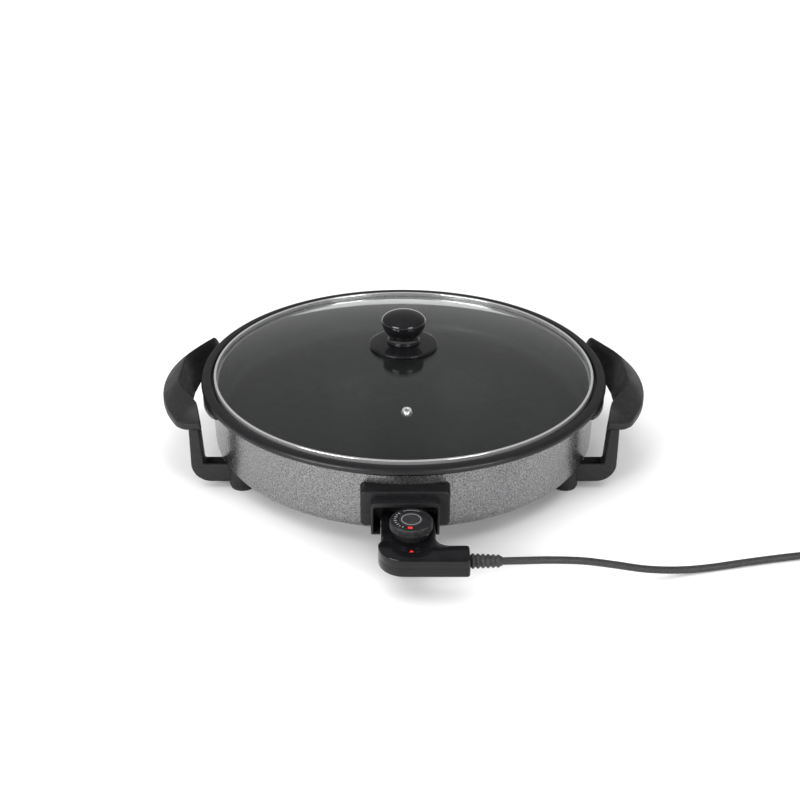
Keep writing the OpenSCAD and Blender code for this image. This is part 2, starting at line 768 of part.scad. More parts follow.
// Round earthed plug lying on its side, pins away from the cord
module plug_body() color(rubber_black)
    translate([plug_x, plug_y, plug_z]) rotate([-90, 0, 0]) difference() {
        rotate_extrude() polygon([
            [0, 0.05], [5, 0.05], [6.2, 14], [9, 20], [15.5, 25], [plug_r, 30], [plug_r, plug_front - 1],
            [plug_r - 1, plug_front], [0, plug_front]
        ]);
        for (sx = [-1, 1]) translate([sx * plug_pin_pitch / 2, 0, 36]) cylinder(r = 2, h = 20);
        for (sy = [-1, 1]) translate([-3.2, sy * 18 - 3, 34]) cube([6.4, 6, 20]);
        translate([0, 0, 40]) cylinder(r = 2.6, h = 10);
    }

module plug_pins() color(steel)
    for (sx = [-1, 1])
        translate([plug_x + sx * plug_pin_pitch / 2, plug_y, plug_z]) rotate([-90, 0, 0]) {
            translate([0, 0, 36]) cylinder(r = 2, h = plug_front - 36);
            rotate_extrude() polygon([
                [0, plug_front], [plug_pin_r, plug_front], [plug_pin_r, plug_front + plug_pin_len - 1.5],
                [1.3, plug_front + plug_pin_len], [0, plug_front + plug_pin_len]
            ]);
        }

module plug_earth_clips() color(brass)
    for (sy = [-1, 1])
        translate([plug_x - 3, plug_y + 34.2, plug_z + sy * 16.3 - 0.6]) cube([6, 12.5, 1.2]);

// ---- dial ----
module dial() color(black_plastic)
    difference() {
        translate([dial_x, dial_y, ctl_top + gap]) {
            rotate_extrude()
                polygon([
                    [0, 0], [15.2, 0], [15.2, 2.2], [16.2, 2.6], [16.2, 5], [17.2, 5.4], [17.2, 8],
                    [18.2, 8.6], [dial_r - 0.5, 9.8], [dial_r - 0.5, dial_h - 0.8],
                    [dial_r - 1.3, dial_h - gap], [0, dial_h - gap]
                ]);
            for (a = [0 : 12 : 348])
                rotate([0, 0, a]) translate([dial_r - 0.6, -0.6, 10])
                    cube([0.6, 1.2, dial_h - 11.3]);
        }
        translate([dial_x, dial_y, ctl_top]) cylinder(r = spindle_r, h = 12);
        translate([dial_x, dial_y, ctl_top + dial_h - 0.8]) cylinder(r = 11.05, h = 2);
    }

module dial_scale_disc() color(steel)
    translate([dial_x, dial_y, ctl_top + dial_h - 0.8]) cylinder(r = 11, h = 0.9);

module dial_spindle() color(steel)
    translate([dial_x, dial_y, ctl_bottom + 3]) cylinder(r = spindle_r, h = ctl_h - 3 + 12);

set_down() pan_body();
set_down() base_plate();
set_down() base_plate_screws();
set_down() heating_element();
set_down() terminal_insulators();
set_down() terminal_pins();
set_down() probe_guide();
set_down() socket_housing();
set_down() socket_screws();
set_down() handle_left();
set_down() handle_right();
set_down() handle_screws();
set_down() foot_pads();
set_down() lid_glass();
set_down() lid_ring();
set_down() steam_vent();
set_down() knob_base();
set_down() lid_knob();
set_down() knob_washer();
set_down() knob_screw();
set_down() thermostat_upper_shell();
set_down() thermostat_lower_shell();
set_down() shell_screws();
set_down() probe_rod();
set_down() probe_bracket();
set_down() contact_clips();
set_down() contact_carrier();
set_down() switch_block();
set_down() switch_blades();
set_down() earth_spring();
set_down() pilot_lamp();
set_down() pilot_lens();
set_down() cord_clamp();
set_down() strain_relief();
set_down() cord_run();
set_down() cord_coil();
set_down() cord_tail();
set_down() plug_body();
set_down() plug_pins();
set_down() plug_earth_clips();
set_down() dial();
set_down() dial_scale_disc();
set_down() dial_spindle();
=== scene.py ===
import json
import math
import bpy
import bmesh
from mathutils import Matrix, Vector, noise


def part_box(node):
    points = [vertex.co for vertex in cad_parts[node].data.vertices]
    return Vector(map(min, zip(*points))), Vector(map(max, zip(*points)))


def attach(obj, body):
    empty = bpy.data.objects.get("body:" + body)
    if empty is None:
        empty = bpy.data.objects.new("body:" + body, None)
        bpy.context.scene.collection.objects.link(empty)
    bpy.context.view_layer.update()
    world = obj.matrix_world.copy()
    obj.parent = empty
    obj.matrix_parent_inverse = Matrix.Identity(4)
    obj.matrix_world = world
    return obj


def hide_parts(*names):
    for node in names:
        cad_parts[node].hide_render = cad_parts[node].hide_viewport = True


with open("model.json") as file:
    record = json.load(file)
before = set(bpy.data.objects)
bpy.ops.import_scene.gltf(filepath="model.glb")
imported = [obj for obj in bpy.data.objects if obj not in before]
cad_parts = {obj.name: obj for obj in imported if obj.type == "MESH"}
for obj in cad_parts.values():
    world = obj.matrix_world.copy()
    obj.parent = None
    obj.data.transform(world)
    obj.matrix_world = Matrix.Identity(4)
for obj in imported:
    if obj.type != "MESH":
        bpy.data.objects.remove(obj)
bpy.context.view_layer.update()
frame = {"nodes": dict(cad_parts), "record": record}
nodes = frame["nodes"]

# ---- driving sizes, in millimetres around the pan's own axis, with z = 0 at the table ----
MM = 0.001


def box_mm(node):
    low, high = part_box(node)
    return low / MM, high / MM


ring_low, ring_high = box_mm("lid_ring")
pan_low, pan_high = box_mm("pan_body")
AXIS_Y = (ring_low.y + ring_high.y) / 2
RIM_R = (pan_high.x - pan_low.x) / 2
PAN_BOTTOM = pan_low.z
RIM_TOP = pan_high.z
RING_R = (ring_high.x - ring_low.x) / 2
RING_TOP = ring_high.z
RING_BOTTOM = ring_low.z
WALL_R = RIM_R - 11.4
FLOOR_TOP = PAN_BOTTOM + 28
FLOOR_BOTTOM = FLOOR_TOP - 3.5


def place(x, y, z):
    """A point given in millimetres from the pan's axis, in metres in the frame."""
    return Vector((x, y + AXIS_Y, z)) * MM


# ---- camera and stage; these lengths are in metres, the lens in millimetres ----
LENS = 58.5
LENS_SHIFT = 0.01225
ELEVATION = math.radians(27.76)
DISTANCE = 1.3994
SIDE_STEP = -0.014
AIM_DROP = 0.0413
AMBIENT = 0.30
OVERHEAD = 2.9
OVERHEAD_SPREAD = math.radians(90)


def make_camera():
    data = bpy.data.cameras.new("camera")
    data.lens = LENS
    data.sensor_width = 36
    data.shift_x = LENS_SHIFT
    camera = bpy.data.objects.new("camera", data)
    bpy.context.scene.collection.objects.link(camera)
    aim = Vector((SIDE_STEP, AXIS_Y * MM, RING_TOP * MM - AIM_DROP))
    back = Vector((0, -math.cos(ELEVATION), math.sin(ELEVATION)))
    camera.location = aim + DISTANCE * back
    camera.rotation_euler = (math.pi / 2 - ELEVATION, 0, 0)
    bpy.context.scene.camera = camera


def aim_light(light, at, target):
    lamp = bpy.data.objects.new(light.name, light)
    lamp.location = at
    ray = Vector(target) - Vector(at)
    lamp.rotation_euler = ray.to_track_quat("-Z", "Y").to_euler()
    bpy.context.scene.collection.objects.link(lamp)
    return lamp


def softbox(name, at, size, watts):
    light = bpy.data.lights.new(name, "AREA")
    light.shape = "RECTANGLE"
    light.size, light.size_y = size
    light.energy = watts
    aim_light(light, at, (0, 0, 0.06))


def make_stage():
    bpy.ops.mesh.primitive_plane_add(size=30, location=(0, 0, 0))
    floor = bpy.context.object
    floor.name = "floor"
    paper = Look("paper")
    paper.speckle((0.86, 0.86, 0.86), (0.88, 0.88, 0.88), scale=3)
    paper.shader.inputs["Roughness"].default_value = 0.9
    paper.shader.inputs["Specular IOR Level"].default_value = 0.1
    floor.data.materials.append(paper.material)
    world = bpy.data.worlds.new("studio")
    world.use_nodes = True
    background = world.node_tree.nodes["Background"]
    background.inputs["Color"].default_value = (1, 1, 1, 1)
    background.inputs["Strength"].default_value = AMBIENT
    bpy.context.scene.world = world
    sky = bpy.data.lights.new("overhead", "SUN")
    sky.energy = OVERHEAD
    sky.angle = OVERHEAD_SPREAD
    lamp = aim_light(sky, (-0.25, 0.35, 2.0), (0, 0, 0))
    lamp.visible_glossy = False
    lamp.visible_transmission = False
    softbox("left_softbox", at=(-1.25, -1.35, 0.85), size=(1.1, 0.4), watts=26)
    softbox("right_softbox", at=(1.05, -1.45, 0.85), size=(0.75, 0.35), watts=15)
    bpy.context.scene.view_settings.view_transform = "Standard"


# ---- materials ----
MIX_FACTOR, MIX_DARK, MIX_LIGHT, MIX_RESULT = 0, 6, 7, 2      # a colour Mix node's sockets


def near_black(value):
    """The colour of a black plastic: a dark grey with a trace of blue."""
    return value, value, value + 0.001


class Look:
    """A material: its Principled shader, and short calls that add a pattern to it."""

    def __init__(self, name, color=None, rough=0.5, metal=0.0, coat=0.0, spec=0.5):
        self.material = bpy.data.materials.new(name)
        self.material.use_nodes = True
        self.tree = self.material.node_tree
        self.shader = self.tree.nodes["Principled BSDF"]
        self.shader.inputs["Roughness"].default_value = rough
        self.shader.inputs["Metallic"].default_value = metal
        self.shader.inputs["Coat Weight"].default_value = coat
        self.shader.inputs["Specular IOR Level"].default_value = spec
        if color:
            self.shader.inputs["Base Color"].default_value = (*color, 1)
        self.height = None

    def node(self, kind, **values):
        made = self.tree.nodes.new(kind)
        for key, value in values.items():
            if hasattr(made, key):
                setattr(made, key, value)
            else:
                made.inputs[key.replace("_", " ")].default_value = value
        return made

    def join(self, out, into):
        self.tree.links.new(out, into)
        return out

    def place(self):
        if not hasattr(self, "coords"):
            self.coords = self.node("ShaderNodeTexCoord")
        return self.coords.outputs["Object"]

    def noise(self, scale, detail=4.0, rough=0.55, vector=None):
        made = self.node("ShaderNodeTexNoise", Scale=scale, Detail=detail, Roughness=rough)
        self.join(vector or self.place(), made.inputs["Vector"])
        return made.outputs["Fac"]

    def cells(self, scale, smooth=0.6):
        made = self.node("ShaderNodeTexVoronoi", Scale=scale, feature="SMOOTH_F1",
                         Smoothness=smooth)
        self.join(self.place(), made.inputs["Vector"])
        return made.outputs["Distance"]

    def ramp(self, value, low, high, start=0.0, end=1.0):
        made = self.node("ShaderNodeMapRange", From_Min=low, From_Max=high,
                         To_Min=start, To_Max=end)
        self.join(value, made.inputs["Value"])
        return made.outputs["Result"]

    def colors(self, value, dark, light):
        made = self.node("ShaderNodeMix", data_type="RGBA")
        made.inputs[MIX_DARK].default_value = (*dark, 1)
        made.inputs[MIX_LIGHT].default_value = (*light, 1)
        self.join(value, made.inputs[MIX_FACTOR])
        return made.outputs[MIX_RESULT]

    def base(self, value, dark, light):
        self.join(self.colors(value, dark, light), self.shader.inputs["Base Color"])

    def speckle(self, dark, light, scale, low=0.35, high=0.65):
        self.base(self.ramp(self.noise(scale), low, high), dark, light)

    def rough_between(self, low, high, scale):
        patches = self.ramp(self.noise(scale, 3), 0.3, 0.7, low, high)
        self.join(patches, self.shader.inputs["Roughness"])

    def bump(self, height, strength, depth_mm):
        made = self.node("ShaderNodeBump", Strength=strength, Distance=depth_mm * MM)
        self.join(height, made.inputs["Height"])
        if self.height:
            self.join(self.height, made.inputs["Normal"])
        self.height = made.outputs["Normal"]
        self.join(self.height, self.shader.inputs["Normal"])

    def across(self, scale):
        """Fine lines that run round the pan's axis, as turning and polishing leave them."""
        shift = self.node("ShaderNodeVectorMath", operation="SUBTRACT")
        shift.inputs[1].default_value = (0, AXIS_Y * MM, 0)
        self.join(self.place(), shift.inputs[0])
        parts = self.node("ShaderNodeSeparateXYZ")
        self.join(shift.outputs[0], parts.inputs[0])
        flat = self.node("ShaderNodeCombineXYZ")
        self.join(parts.outputs["X"], flat.inputs["X"])
        self.join(parts.outputs["Y"], flat.inputs["Y"])
        length = self.node("ShaderNodeVectorMath", operation="LENGTH")
        self.join(flat.outputs[0], length.inputs[0])
        lines = self.node("ShaderNodeCombineXYZ")
        self.join(length.outputs["Value"], lines.inputs["X"])
        self.join(parts.outputs["Z"], lines.inputs["Y"])
        return self.noise(scale, 2, 0.5, lines.outputs[0])


def hammered_lacquer():
    look = Look("hammered_lacquer", rough=0.3, metal=0.92, coat=0.1)
    worms = look.ramp(look.noise(980, 3, 0.6), 0.38, 0.62)
    look.base(worms, (0.09, 0.09, 0.092), (0.31, 0.31, 0.315))
    look.rough_between(0.22, 0.34, 500)
    look.bump(look.cells(800), 0.5, 0.18)
    look.bump(look.noise(1500, 2), 0.25, 0.08)
    return look.material


def nonstick():
    look = Look("nonstick", rough=0.4, spec=0.36)
    look.speckle(near_black(0.005), near_black(0.011), scale=900)
    look.rough_between(0.30, 0.44, 120)
    look.bump(look.noise(1400, 3), 0.18, 0.06)
    return look.material


def satin_plastic(name, dark, light, low, high):
    look = Look(name, spec=0.30)
    look.speckle(near_black(dark), near_black(light), scale=260)
    look.rough_between(low, high, 90)
    look.bump(look.noise(2600, 2), 0.22, 0.05)
    return look.material


def gloss_plastic(name, dark, light, coat):
    look = Look(name, coat=coat, spec=0.18)
    look.speckle(near_black(dark), near_black(light), scale=60)
    look.rough_between(0.10, 0.20, 140)
    look.bump(look.noise(240, 2), 0.03, 0.05)
    look.shader.inputs["Coat Roughness"].default_value = 0.06
    return look.material


def turned_steel():
    look = Look("turned_steel", rough=0.16, metal=0.75)
    lines = look.across(2600)
    tone = look.ramp(lines, 0.3, 0.7)
    look.base(tone, (0.74, 0.74, 0.74), (0.90, 0.90, 0.89))
    look.join(look.ramp(lines, 0.3, 0.7, 0.10, 0.24), look.shader.inputs["Roughness"])
    look.bump(lines, 0.06, 0.02)
    return look.material


def metal(name, dark, light, low, high, scale=180):
    look = Look(name, metal=1.0)
    look.speckle(dark, light, scale=scale)
    look.rough_between(low, high, scale)
    look.bump(look.noise(1500, 2), 0.08, 0.03)
    return look.material


def heat_browned():
    look = Look("heat_browned", rough=0.45, metal=0.9)
    look.speckle((0.12, 0.09, 0.07), (0.30, 0.27, 0.25), scale=45)
    look.rough_between(0.35, 0.6, 150)
    look.bump(look.noise(700, 3), 0.15, 0.05)
    return look.material


def lid_glass_look():
    look = Look("lid_glass", rough=0.02)
    look.speckle((0.90, 0.93, 0.925), (0.93, 0.955, 0.95), scale=20)
    look.rough_between(0.0, 0.05, 14)
    look.shader.inputs["Transmission Weight"].default_value = 1.0
    look.shader.inputs["IOR"].default_value = 1.5
    look.bump(look.noise(9, 1), 0.04, 0.4)
    return look.material


def lamp_glass_look():
    look = Look("lamp_glass", rough=0.05)
    look.speckle((0.95, 0.55, 0.35), (0.98, 0.72, 0.5), scale=200)
    look.shader.inputs["Transmission Weight"].default_value = 0.8
    return look.material


def red_lens_painted_glow():
    look = Look("red_lens_painted_glow", rough=0.18, coat=0.4)
    look.speckle((0.55, 0.008, 0.006), (0.85, 0.02, 0.015), scale=500)
    look.rough_between(0.12, 0.25, 400)
    look.shader.inputs["Subsurface Weight"].default_value = 0.2
    look.shader.inputs["Subsurface Radius"].default_value = (0.002, 0.0005, 0.0005)
    # Painted glow: the lens gives off a faint red light of its own, though the lamp is not lit.
    look.shader.inputs["Emission Color"].default_value = (0.8, 0.01, 0.01, 1)
    look.shader.inputs["Emission Strength"].default_value = 0.25
    return look.material


def rubber(name, dark, light, low, high):
    look = Look(name, spec=0.35)
    look.speckle(dark, light, scale=500)
    look.rough_between(low, high, 300)
    look.bump(look.noise(1900, 3), 0.2, 0.05)
    return look.material


def ceramic():
    look = Look("ceramic", rough=0.65)
    look.speckle((0.68, 0.65, 0.58), (0.82, 0.80, 0.75), scale=350)
    look.bump(look.noise(1200, 3), 0.2, 0.05)
    return look.material


def print_ink(name, dark, light):
    look = Look(name, spec=0.4)
    look.speckle(dark, light, scale=900)
    look.rough_between(0.35, 0.5, 600)
    return look.material


LOOKS = {}


def make_looks():
    sheet = metal("sheet_steel", (0.42, 0.42, 0.42), (0.55, 0.55, 0.55), 0.3, 0.45, 60)
    screw = metal("screw_steel", (0.45, 0.45, 0.44), (0.62, 0.62, 0.6), 0.22, 0.36)
    nickel = metal("nickel_contact", (0.58, 0.57, 0.54), (0.72, 0.71, 0.68), 0.14, 0.26)
    brass = metal("contact_brass", (0.55, 0.40, 0.15), (0.75, 0.58, 0.27), 0.2, 0.35)
    LOOKS.update(
        hammered_lacquer=hammered_lacquer(),
        nonstick=nonstick(),
        sheet_steel=sheet,
        screw_steel=screw,
        element_sheath=heat_browned(),
        ceramic=ceramic(),
        nickel_contact=nickel,
        black_plastic=satin_plastic("black_plastic", 0.007, 0.012, 0.36, 0.48),
        grip_plastic=satin_plastic("grip_plastic", 0.011, 0.017, 0.46, 0.58),
        pad_rubber=rubber("pad_rubber", (0.020, 0.020, 0.020), (0.035, 0.035, 0.035), 0.5, 0.68),
        lid_glass=lid_glass_look(),
        polished_steel=turned_steel(),
        knob_plastic=gloss_plastic("knob_plastic", 0.006, 0.010, 0.35),
        gloss_black=gloss_plastic("gloss_black", 0.004, 0.007, 0.2),
        contact_brass=brass,
        lamp_glass=lamp_glass_look(),
        pilot_red=red_lens_painted_glow(),
        cord_rubber=rubber("cord_rubber", near_black(0.022), near_black(0.038), 0.42, 0.58),
        plug_rubber=rubber("plug_rubber", near_black(0.014), near_black(0.026), 0.4, 0.55),
        dial_plastic=satin_plastic("dial_plastic", 0.008, 0.014, 0.20, 0.30),
        dial_print=satin_plastic("dial_print", 0.018, 0.030, 0.22, 0.32),
        pale_ink=print_ink("pale_ink", (0.30, 0.30, 0.31), (0.42, 0.42, 0.43)),
        red_ink=print_ink("red_ink", (0.60, 0.02, 0.02), (0.78, 0.03, 0.03)),
    )


def dress_cad_nodes():
    """Each CAD node takes the look of its own material slot."""
    for part in frame["record"]["subparts"]:
        piece = nodes[part["node"]]
        piece.data.materials.clear()
        piece.data.materials.append(LOOKS[part["material_slot"]])


# ---- outlines ----
def fillet(corners, closed=True, step=12):
    """Corners given as (x, y, radius), with each radius turned into an arc."""
    out = []
    count = len(corners)
    for i, (x, y, radius) in enumerate(corners):
        here = Vector((x, y))
        if radius <= 0 or (not closed and i in (0, count - 1)):
            out.append(here)
            continue
        before = (Vector(corners[i - 1][:2]) - here).normalized()
        after = (Vector(corners[(i + 1) % count][:2]) - here).normalized()
        half = before.angle(after) / 2
        if half > math.radians(89):
            out.append(here)
            continue
        centre = here + (before + after).normalized() * radius / math.sin(half)
        first = here + before * radius / math.tan(half) - centre
        last = here + after * radius / math.tan(half) - centre
        turn = math.atan2(first.x * last.y - first.y * last.x, first.dot(last))
        steps = max(2, math.ceil(abs(math.degrees(turn)) / step))
        for k in range(steps + 1):
            out.append(centre + Matrix.Rotation(turn * k / steps, 2) @ first)
    return out


def inset(outline, amount):
    """The closed outline moved inwards, whichever way round it runs."""
    area = sum(a.x * b.y - a.y * b.x for a, b in zip(outline, outline[1:] + outline[:1]))
    sign = 1 if area > 0 else -1
    out = []
    for i, here in enumerate(outline):
        before = (here - outline[i - 1]).normalized()
        after = (outline[(i + 1) % len(outline)] - here).normalized()
        normal = Vector((-before.y - after.y, before.x + after.x))
        scale = amount / max(0.3, normal.length / 2)
        out.append(here + sign * normal.normalized() * scale)
    return out


def smooth(t):
    t = max(0.0, min(1.0, t))
    return t * t * (3 - 2 * t)


def mix(a, b, t):
    return a + (b - a) * t


# ---- meshes ----
def finish_mesh(name, bm, sharp=35):
    bmesh.ops.remove_doubles(bm, verts=bm.verts, dist=1e-7)
    bmesh.ops.recalc_face_normals(bm, faces=bm.faces)
    mesh = bpy.data.meshes.new(name)
    bm.to_mesh(mesh)
    bm.free()
    mesh.shade_smooth()
    mesh.set_sharp_from_angle(angle=math.radians(sharp))
    piece = bpy.data.objects.new(name, mesh)
    bpy.context.scene.collection.objects.link(piece)
    return piece


def bridge(bm, lower, upper):
    """Faces between two rings; one may have a whole number of times as many points, or just one."""
    few, many = (lower, upper) if len(lower) <= len(upper) else (upper, lower)
    if len(few) == 1:
        for k in range(len(many)):
            bm.faces.new((few[0], many[k], many[(k + 1) % len(many)]))
        return
    ratio = len(many) // len(few)
    for k in range(len(few)):
        run = [many[(k * ratio + j) % len(many)] for j in range(ratio + 1)]
        bm.faces.new([few[(k + 1) % len(few)], few[k]] + run)


def stack(name, rings, caps=True, loop=False, sharp=35):
    """A solid through rings of points, capped at its ends or closed into a loop."""
    bm = bmesh.new()
    made = [[bm.verts.new(p) for p in ring] for ring in rings]
    for lower, upper in zip(made, made[1:] + (made[:1] if loop else [])):
        bridge(bm, lower, upper)
    if caps and not loop:
        for ring in (made[0], made[-1]):
            if len(ring) > 2:
                bm.faces.new(ring)
    return finish_mesh(name, bm, sharp)


def lathe_rings(profile, counts):
    rings = []
    for (r, z), count in zip(profile, counts):
        if r < 1e-6:
            rings.append([Vector((0, 0, z))])
        else:
            angles = [2 * math.pi * k / count for k in range(count)]
            rings.append([Vector((r * math.cos(a), r * math.sin(a), z)) for a in angles])
    return rings


def lathe(name, profile, count=96, at=(0, 0, 0), turn=None, loop=False, sharp=35):
    """A turned solid; its profile runs from the axis to the axis, or round a closed loop."""
    turn = turn or Matrix.Identity(3)
    rings = lathe_rings(profile, [count] * len(profile))
    rings = [[place(*(turn @ p + Vector(at))) for p in ring] for ring in rings]
    return stack(name, rings, caps=False, loop=loop, sharp=sharp)


def slab(name, outline, low, high, edge_low=0.0, edge_high=0.0, turn=None, at=(0, 0, 0), sharp=35):
    """An outline given a thickness, with rounded edges at its two faces."""
    turn = turn or Matrix.Identity(3)
    levels = []
    for radius, face, side in ((edge_low, low, 1), (edge_high, high, -1)):
        steps = 4 if radius > 0 else 0
        part = []
        for k in range(steps + 1):
            a = math.pi / 2 * k / max(steps, 1)
            part.append((radius * (1 - math.sin(a)), face + side * radius * (1 - math.cos(a))))
        levels += part if side == 1 else part[::-1]
    rings = []
    for amount, z in levels:
        ring = inset(outline, amount) if amount > 1e-6 else outline
        rings.append([place(*(turn @ Vector((p.x, p.y, z)) + Vector(at))) for p in ring])
    return stack(name, rings, sharp=sharp)


def combine(piece, other, operation):
    """Joins or cuts two solids and keeps only the first object."""
    step = piece.modifiers.new(operation, "BOOLEAN")
    step.object = other
    step.operation = operation
    step.solver = "EXACT"
    bpy.context.view_layer.update()
    graph = bpy.context.evaluated_depsgraph_get()
    mesh = bpy.data.meshes.new_from_object(piece.evaluated_get(graph))
    piece.modifiers.clear()
    old = piece.data
    piece.data = mesh
    mesh.name = piece.name
    bpy.data.meshes.remove(old)
    bpy.data.objects.remove(other)


def shade(piece, sharp):
    piece.data.shade_smooth()
    piece.data.set_sharp_from_angle(angle=math.radians(sharp))


def register(piece, body, slot, *replaced, look=None):
    piece.data.materials.clear()
    piece.data.materials.append(LOOKS[look or slot])
    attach(piece, body)
    if replaced:
        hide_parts(*replaced)
    return piece


FLAT_SIDE = Matrix.Rotation(math.pi / 2, 3, "X")      # an outline's (x, y) becomes (x, z)
TO_FRONT = FLAT_SIDE                                  # a lathe's axis points to -Y
TO_BACK = Matrix.Rotation(-math.pi / 2, 3, "X")       # a lathe's axis points to +Y
TO_RIGHT = Matrix.Rotation(math.pi / 2, 3, "Y")       # a lathe's axis points to +X


def rod(r, start, length, turn, at, count=48):
    """A plain cylinder, used to cut a round hole along its axis."""
    end = start + length
    return lathe("cutter", [(0, start), (r, start), (r, end), (0, end)], count, at, turn)


# ---- pan ----
WALL_FINE = 1024
WALL_COARSE = 256
WALL_OUTSIDE = WALL_R - 2.5
HAMMER_CELL = 2.0
HAMMER_DEPTH = 0.09
HAMMER_LOW, HAMMER_HIGH = PAN_BOTTOM + 3, RIM_TOP - 12
LACQUER_TOP = RIM_TOP - 13.4
PLATE_LIP_R, PLATE_SEAT_R = 172.4, 175.4
LID_SEAT_R, INNER_R = 203.2, 198.2
LID_SEAT = RING_BOTTOM - 0.2


def pan_profile():
    """Half section of the casting, from the middle of its underside to its cooking surface."""
    low = PAN_BOTTOM
    corners = [
        (0, FLOOR_BOTTOM, 0), (WALL_R - 9, FLOOR_BOTTOM, 1), (WALL_R - 3, FLOOR_BOTTOM - 4, 1.5),
        (WALL_R - 3, low + 4, 8), (PLATE_LIP_R, low + 4, 0.4), (PLATE_LIP_R, low + 1.4, 0.3),
        (PLATE_SEAT_R, low + 1.4, 0.3), (PLATE_SEAT_R, low, 0.6), (WALL_R - 0.5, low, 11.5),
        (WALL_R, low + 40, 60), (WALL_R, RIM_TOP - 13.6, 0.8), (WALL_R + 5.5, RIM_TOP - 8.2, 4),
        (RIM_R, RIM_TOP - 6.2, 1.0), (RIM_R, RIM_TOP, 4.9), (LID_SEAT_R, RIM_TOP, 2.0),
        (LID_SEAT_R, LID_SEAT, 0.5), (INNER_R, LID_SEAT, 1), (INNER_R - 1, FLOOR_TOP, 12),
        (60, FLOOR_TOP, 0), (0, FLOOR_TOP, 0),
    ]
    return fillet(corners, closed=False, step=10)


def refine(profile, longest):
    """Extra rings on the long stretches of the outer wall, where the hammer relief goes."""
    out = [profile[0]]
    for here, after in zip(profile, profile[1:]):
        middle = (here.y + after.y) / 2
        wall = min(here.x, after.x) > WALL_R - 6 and HAMMER_LOW < middle < HAMMER_HIGH
        outside = here.x > WALL_OUTSIDE or here.y < PAN_BOTTOM + 9
        steps = max(1, math.ceil((after - here).length / longest)) if wall and outside else 1
        out += [here.lerp(after, (k + 1) / steps) for k in range(steps)]
    return out


def on_wall(point):
    return point.x > WALL_OUTSIDE and HAMMER_LOW < point.y < HAMMER_HIGH


def hammer(point):
    """Height of the hammered relief at a point: rounded cells that fade out at the band's edges."""
    cell = noise.voronoi(point / HAMMER_CELL)[0][0]
    fade = smooth((point.z - HAMMER_LOW) / 3) * smooth((HAMMER_HIGH - point.z) / 2)
    return HAMMER_DEPTH * (0.5 - cell) * fade


def make_pan():
    profile = refine(pan_profile(), 1.3)
    counts = [WALL_FINE if on_wall(p) else WALL_COARSE for p in profile]
    rings = lathe_rings([(p.x, p.y) for p in profile], counts)
    for ring, count in zip(rings, counts):
        if count == WALL_FINE:
            for point in ring:
                out = Vector((point.x, point.y, 0)).normalized()
                point += out * (hammer(point) - HAMMER_DEPTH * 0.5)
    rings = [[place(*p) for p in ring] for ring in rings]
    pan = stack("pan_shell", rings, caps=False, sharp=40)
    window = frame_outline(24, 32.5, 42.3, 1, 1, step=12)
    combine(pan, slab("cutter", window, WALL_R - 20, WALL_R + 10, turn=FLAT_SIDE), "DIFFERENCE")
    shade(pan, 40)
    register(pan, "pan", "hammered_lacquer", "pan_body")
    pan.data.materials.append(LOOKS["nonstick"])
    for face in pan.data.polygons:
        at = face.center / MM
        reach = math.hypot(at.x, at.y - AXIS_Y)
        if at.z > LACQUER_TOP or (reach < WALL_R - 2 and at.z > FLOOR_TOP - 1):
            face.material_index = 1


LUG_HALF = math.radians(27)
LUG_LOW = 64.2
LUG_ARC = 271.0
LUG_R = RIM_R - 1.0


def make_lug(side):
    """A tab with an arched lower edge that hangs below the rim beside a handle."""
    name = "rim_lug_left" if side < 0 else "rim_lug_right"
    round_r = 1.6
    steps = 60
    turns = [math.radians(t) for t in (0, 30, 60, 90)]
    ends = [LUG_HALF - round_r * (1 - math.sin(t)) / LUG_R for t in turns]
    insets = [round_r * (1 - math.cos(t)) for t in turns]
    middle = [mix(-ends[0], ends[0], k / steps) for k in range(1, steps)]
    spots = [(-a, i) for a, i in zip(ends[::-1], insets[::-1])] + [(a, 0) for a in middle]
    spots += list(zip(ends, insets))
    rings = []
    for a, amount in spots:
        y = LUG_R * math.sin(a)
        low = LUG_LOW + LUG_ARC - math.sqrt(LUG_ARC ** 2 - y * y) + amount
        top = RIM_TOP - 6.5
        section = [
            (WALL_R - 0.8, top), (WALL_R - 0.8, low), (LUG_R - 2.2, low), (LUG_R - 0.7, low + 0.5),
            (LUG_R - amount, low + 2.2), (LUG_R - amount, top - 0.6), (LUG_R - 0.6, top + 0.6),
        ]
        turn = Matrix.Rotation(a + (math.pi if side < 0 else 0), 3, "Z")
        rings.append([place(*(turn @ Vector((x, 0, z)))) for x, z in section])
    lug = stack(name, rings, sharp=50)
    register(lug, "pan", "hammered_lacquer", "pan_body", look="nonstick")


# ---- lid ----
glass_low, glass_high = box_mm("lid_glass")
GLASS_T = 4.0
DOME_A = (glass_high.x - glass_low.x) / 2
DOME_H = glass_high.z - glass_low.z - GLASS_T
DOME_R = (DOME_A ** 2 + DOME_H ** 2) / (2 * DOME_H)
DOME_CZ = glass_low.z + DOME_H - DOME_R


def dome_z(r):
    return DOME_CZ + math.sqrt(DOME_R ** 2 - r * r)


def vent_turn():
    low, high = box_mm("steam_vent")
    middle = (low + high) / 2
    away = Vector((middle.x, middle.y - AXIS_Y))
    tilt = math.asin(away.length / DOME_R)
    turn = Matrix.Rotation(math.atan2(away.x, -away.y), 3, "Z") @ Matrix.Rotation(tilt, 3, "X")
    return turn, Vector((away.x, away.y, dome_z(away.length)))


def make_glass():
    rings = 48
    radii = [DOME_A * k / rings for k in range(rings + 1)]
    under = [(r, dome_z(r)) for r in radii]
    over = [(min(r, DOME_A - 0.4), dome_z(r) + GLASS_T) for r in reversed(radii)]
    edge = [(DOME_A, dome_z(DOME_A) + GLASS_T - 0.6)]
    glass = lathe("glass_dome", under + edge + over, 192, sharp=50)
    turn, at = vent_turn()
    combine(glass, rod(3.6, -10, 20, turn, at), "DIFFERENCE")
    combine(glass, rod(3.2, glass_high.z - 20, 30, None, (0, 0, 0)), "DIFFERENCE")
    shade(glass, 50)
    register(glass, "lid", "lid_glass", "lid_glass")


